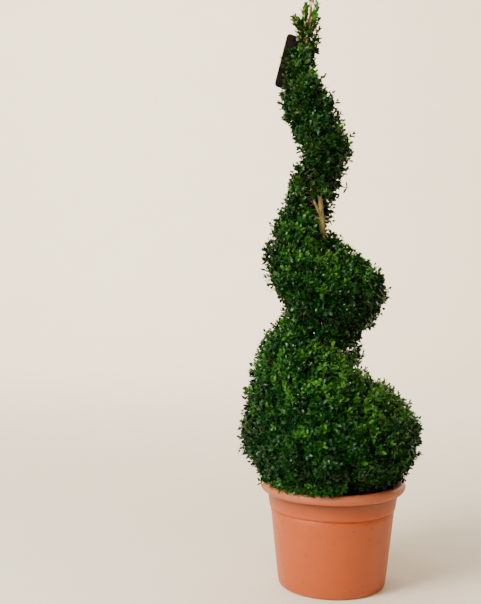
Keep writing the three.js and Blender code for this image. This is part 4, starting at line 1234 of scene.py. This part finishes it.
class TOPIARY_OT_foliage(bpy.types.Operator):
    """Grow the side boughs, twigs and paired leaves of each mass"""
    bl_idname = "topiary.foliage"
    bl_label = "Foliage"

    def execute(self, context):
        plant = context.scene.topiary_plant
        tints = [glossy_leaf(f"glossy box leaf {tint}", getattr(plant, f"{tint}_leaf"), roughness)
                 for tint, roughness in LEAF_ROUGHNESS.items()]
        barks = [furrowed_bark(name, linear(pale), linear(dark), TWIG_FURROW)
                 for name, pale, dark in TWIG_BARKS]
        stem_joints = trunk_axis(np.arange(SOIL_TOP + STEM_STEP, CLIPPED_TOP, STEM_STEP))
        for i, (name, form, start, end) in enumerate(MASSES):
            random = np.random.default_rng(FIRST_SEED + i)
            outer = grow_sprays(form, start, end, plant.spray_spacing, OUTER_DEPTH, random)
            skirt = skirt_sprays(form, start, end, random)
            outer = tuple(map(np.concatenate, zip(outer, skirt)))
            inner = grow_sprays(form, start, end, plant.inner_spacing, INNER_DEPTH, random)
            outer_leaves, owner, order = spray_leaves(*outer[:2], OUTER_PAIRS, 1.0, plant, random)
            inner_leaves, inner_owner, _ = spray_leaves(*inner[:2], INNER_PAIRS, INNER_SCALE, plant, random)
            leaf_parts = [outer_leaves, inner_leaves]
            # The inner leaves all take the old tint: partly their age, and partly painted shade deep inside
            # the mass
            leaf_tints = [deal_tints(outer, owner, order, random), np.full(len(inner_owner), OLD)]

            boughs, bough_radii = side_boughs(form, start, end, plant.bough_spacing)
            joints = np.concatenate((boughs[:, 1:].reshape(-1, 3), stem_joints))
            leafy = [np.concatenate((outer[k][np.unique(owner)], inner[k][np.unique(inner_owner)]))
                     for k in (0, 1)]
            limbs = [twigs_to(*leafy, joints), tubes(boughs, bough_radii, 5)]
            if end > TIP_TURN:
                shoots, nodes = tip_shoots(random)
                made, owner, order = spray_leaves(*nodes[:2], SHOOT_PAIRS, SHOOT_SCALE, plant, random)
                leaf_parts.append(made)
                leaf_tints.append(deal_tints(nodes, owner, order, random))
                taper = SHOOT_RADIUS * np.linspace(1, SHOOT_TIP, SHOOT_STEPS)
                limbs.append(tubes(shoots, np.broadcast_to(taper, shoots.shape[:2]), 5))
            kinds = np.repeat(np.concatenate(leaf_tints), len(LEAF_FACES))
            mesh_piece(name.replace("foliage", "leaves"), *joined(leaf_parts), tints, "foliage", [name],
                       kinds)
            limbs = [(points, triangles_of(quads)) for points, quads in limbs]
            kinds = np.repeat(range(len(limbs)), [len(faces) for _, faces in limbs])
            mesh_piece(name.replace("foliage", "twigs"), *joined(limbs), barks, "foliage", [name], kinds)
        return {"FINISHED"}


def label_place():
    """Where the label's card hangs."""
    turn = Matrix.Rotation(math.radians(-LABEL_TURN), 4, "Z")
    lean = Matrix.Rotation(math.radians(LABEL_LEAN), 4, "Y")
    return Matrix.Translation(LABEL_MIDDLE) @ turn @ lean


def bridge(mesh, here, there):
    """Faces between two rings of four corners."""
    for i in range(4):
        mesh.faces.new((here[i], there[i], there[(i + 1) % 4], here[(i + 1) % 4]))


class TOPIARY_OT_label(bpy.types.Operator):
    """Hang the plain rounded label from its strap"""
    bl_idname = "topiary.label"
    bl_label = "Label"

    def execute(self, context):
        place = label_place()
        mesh = bmesh.new()
        x, z = LABEL_WIDTH / 2 - LABEL_CORNER, LABEL_LENGTH / 2 - LABEL_CORNER
        edge = []
        for i, (u, v) in enumerate(((x, z), (-x, z), (-x, -z), (x, -z))):
            edge += arc(u, v, LABEL_CORNER, 90 * i, 90 * (i + 1), 8)
        face = mesh.faces.new([mesh.verts.new((u, -LABEL_THICKNESS / 2, v)) for u, v in edge])
        sides = bmesh.ops.extrude_face_region(mesh, geom=[face])["geom"]
        moved = [item for item in sides if isinstance(item, bmesh.types.BMVert)]
        bmesh.ops.translate(mesh, verts=moved, vec=(0, LABEL_THICKNESS, 0))
        bmesh.ops.recalc_face_normals(mesh, faces=mesh.faces)
        rims = [item for item in mesh.edges if abs(item.verts[0].co.y - item.verts[1].co.y) < 1e-6]
        bmesh.ops.bevel(mesh, geom=rims, offset=LABEL_BEVEL, segments=2, affect="EDGES")
        bmesh.ops.triangulate(mesh, faces=[f for f in mesh.faces if len(f.verts) > 4])
        mesh.transform(place)

        # The strap's loop round the stem, and its tongue to the top of the card
        stem = Vector(trunk_axis(np.float64(STRAP_Z)))
        half = STRAP_WIDTH / 2
        inner = float(trunk_radius(np.float64(STRAP_Z - half))) + STRAP_SLACK
        outer = inner + STRAP_WALL
        ring = []
        for step in range(STRAP_STEPS):
            angle = 2 * math.pi * step / STRAP_STEPS
            way = Vector((math.cos(angle), math.sin(angle), 0))
            ring.append([mesh.verts.new(stem + way * r + Vector((0, 0, h)))
                         for r, h in ((inner, -half), (outer, -half), (outer, half), (inner, half))])
        for here, there in zip(ring, ring[1:] + ring[:1]):
            bridge(mesh, here, there)
        top = place @ Vector((0, 0, LABEL_LENGTH / 2 - STRAP_WIDTH))
        toward = (top - stem) * Vector((1, 1, 0))
        first = stem + toward.normalized() * (inner + STRAP_WALL / 2)
        along = (top - first).normalized()
        side = Vector((0, 0, 1)).cross(along).normalized()
        up = along.cross(side)
        rows = []
        for share in np.linspace(0, 1, 7):
            centre = first.lerp(top, float(share)) - Vector((0, 0, STRAP_SAG * math.sin(math.pi * share)))
            rows.append([mesh.verts.new(centre + side * a * STRAP_WALL / 2 + up * b * half)
                         for a, b in ((-1, -1), (1, -1), (1, 1), (-1, 1))])
        for here, there in zip(rows, rows[1:]):
            bridge(mesh, here, there)
        mesh.faces.new(rows[0])
        mesh.faces.new(rows[-1])
        bmesh.ops.recalc_face_normals(mesh, faces=mesh.faces)
        data = mesh_data("label_card", mesh)
        card = satin_card(context.scene.topiary_plant.label)
        finish_piece("label_card", data, [card], ["label"])
        data.set_sharp_from_angle(angle=math.radians(40))
        return {"FINISHED"}


class TOPIARY_OT_stage(bpy.types.Operator):
    """Set the plain floor, the soft lights and the camera"""
    bl_idname = "topiary.stage"
    bl_label = "Stage"

    def execute(self, context):
        scene = context.scene
        stage = scene.topiary_stage
        cove = arc(SWEEP_RADIUS - SWEEP_COVE, SWEEP_COVE, SWEEP_COVE, -90, 0, 32)
        data = lathe("floor", [(0, 0), (1.0, 0), *cove, (SWEEP_RADIUS, SWEEP_HEIGHT)], 128)
        data.shade_smooth()
        data.materials.append(pale_plaster("pale plaster", stage.floor))
        floor = bpy.data.objects.new("floor", data)
        scene.collection.objects.link(floor)

        world = bpy.data.worlds.new("studio")
        world.use_nodes = True
        tree = world.node_tree
        around = tree.nodes["Background"]
        way = add_node(tree, "ShaderNodeTexCoord").outputs["Generated"]
        side = add_node(tree, "ShaderNodeVectorMath", {"operation": "DOT_PRODUCT", 1: SKY_SIDE}, {0: way})
        ends = dict(zip(("From Min", "From Max", "To Min", "To Max"), SKY_RANGE + SKY_STRENGTH))
        soft = add_node(tree, "ShaderNodeMapRange", ends, {"Value": side.outputs["Value"]})
        link(around, {"Strength": soft})
        around.inputs["Color"].default_value = rgba(linear("#F2EEE8"))
        scene.world = world

        for name, kind, place, target, size, setting, share, colour in LIGHTS:
            light = bpy.data.lights.new(name, kind)
            setattr(light, "angle" if kind == "SUN" else "size", size)
            light.energy = share * getattr(stage, setting)
            light.color = linear(colour)
            lamp = bpy.data.objects.new(name, light)
            lamp.location = place
            lamp.rotation_euler = (Vector(target) - Vector(place)).to_track_quat("-Z", "Y").to_euler()
            scene.collection.objects.link(lamp)

        data = bpy.data.cameras.new("camera")
        data.lens, data.sensor_width = LENS, SENSOR_WIDTH
        camera = bpy.data.objects.new("camera", data)
        pitch = Matrix.Rotation(math.radians(90 - CAMERA_PITCH), 4, "X")
        camera.matrix_world = Matrix.Translation(CAMERA_PLACE) @ pitch @ Matrix.Rotation(CAMERA_ROLL, 4, "Z")
        scene.collection.objects.link(camera)
        scene.camera = camera
        return {"FINISHED"}


OPERATORS = (TOPIARY_OT_pot, TOPIARY_OT_compost, TOPIARY_OT_trunk, TOPIARY_OT_foliage,
             TOPIARY_OT_label, TOPIARY_OT_stage)


class TOPIARY_PT_build(bpy.types.Panel):
    """Lists the steps that build the topiary"""
    bl_idname = "TOPIARY_PT_build"
    bl_label = "Spiral topiary"
    bl_space_type = "VIEW_3D"
    bl_region_type = "UI"
    bl_category = "Topiary"

    def draw(self, context):
        for group in ("topiary_pot", "topiary_plant", "topiary_stage"):
            settings = getattr(context.scene, group)
            for key in settings.bl_rna.properties.keys():
                if key not in ("rna_type", "name"):
                    self.layout.prop(settings, key)
        for operator in OPERATORS:
            self.layout.operator(operator.bl_idname)


CLASSES = (PotSettings, PlantSettings, StageSettings, *OPERATORS, TOPIARY_PT_build)


def register():
    for item in CLASSES:
        bpy.utils.register_class(item)
    bpy.types.Scene.topiary_pot = bpy.props.PointerProperty(type=PotSettings)
    bpy.types.Scene.topiary_plant = bpy.props.PointerProperty(type=PlantSettings)
    bpy.types.Scene.topiary_stage = bpy.props.PointerProperty(type=StageSettings)


def unregister():
    del bpy.types.Scene.topiary_stage
    del bpy.types.Scene.topiary_plant
    del bpy.types.Scene.topiary_pot
    for item in reversed(CLASSES):
        bpy.utils.unregister_class(item)


def main():
    register()
    bpy.ops.topiary.pot()
    bpy.ops.topiary.compost()
    bpy.ops.topiary.trunk()
    bpy.ops.topiary.foliage()
    bpy.ops.topiary.label()
    bpy.ops.topiary.stage()


if __name__ == "__main__":
    main()
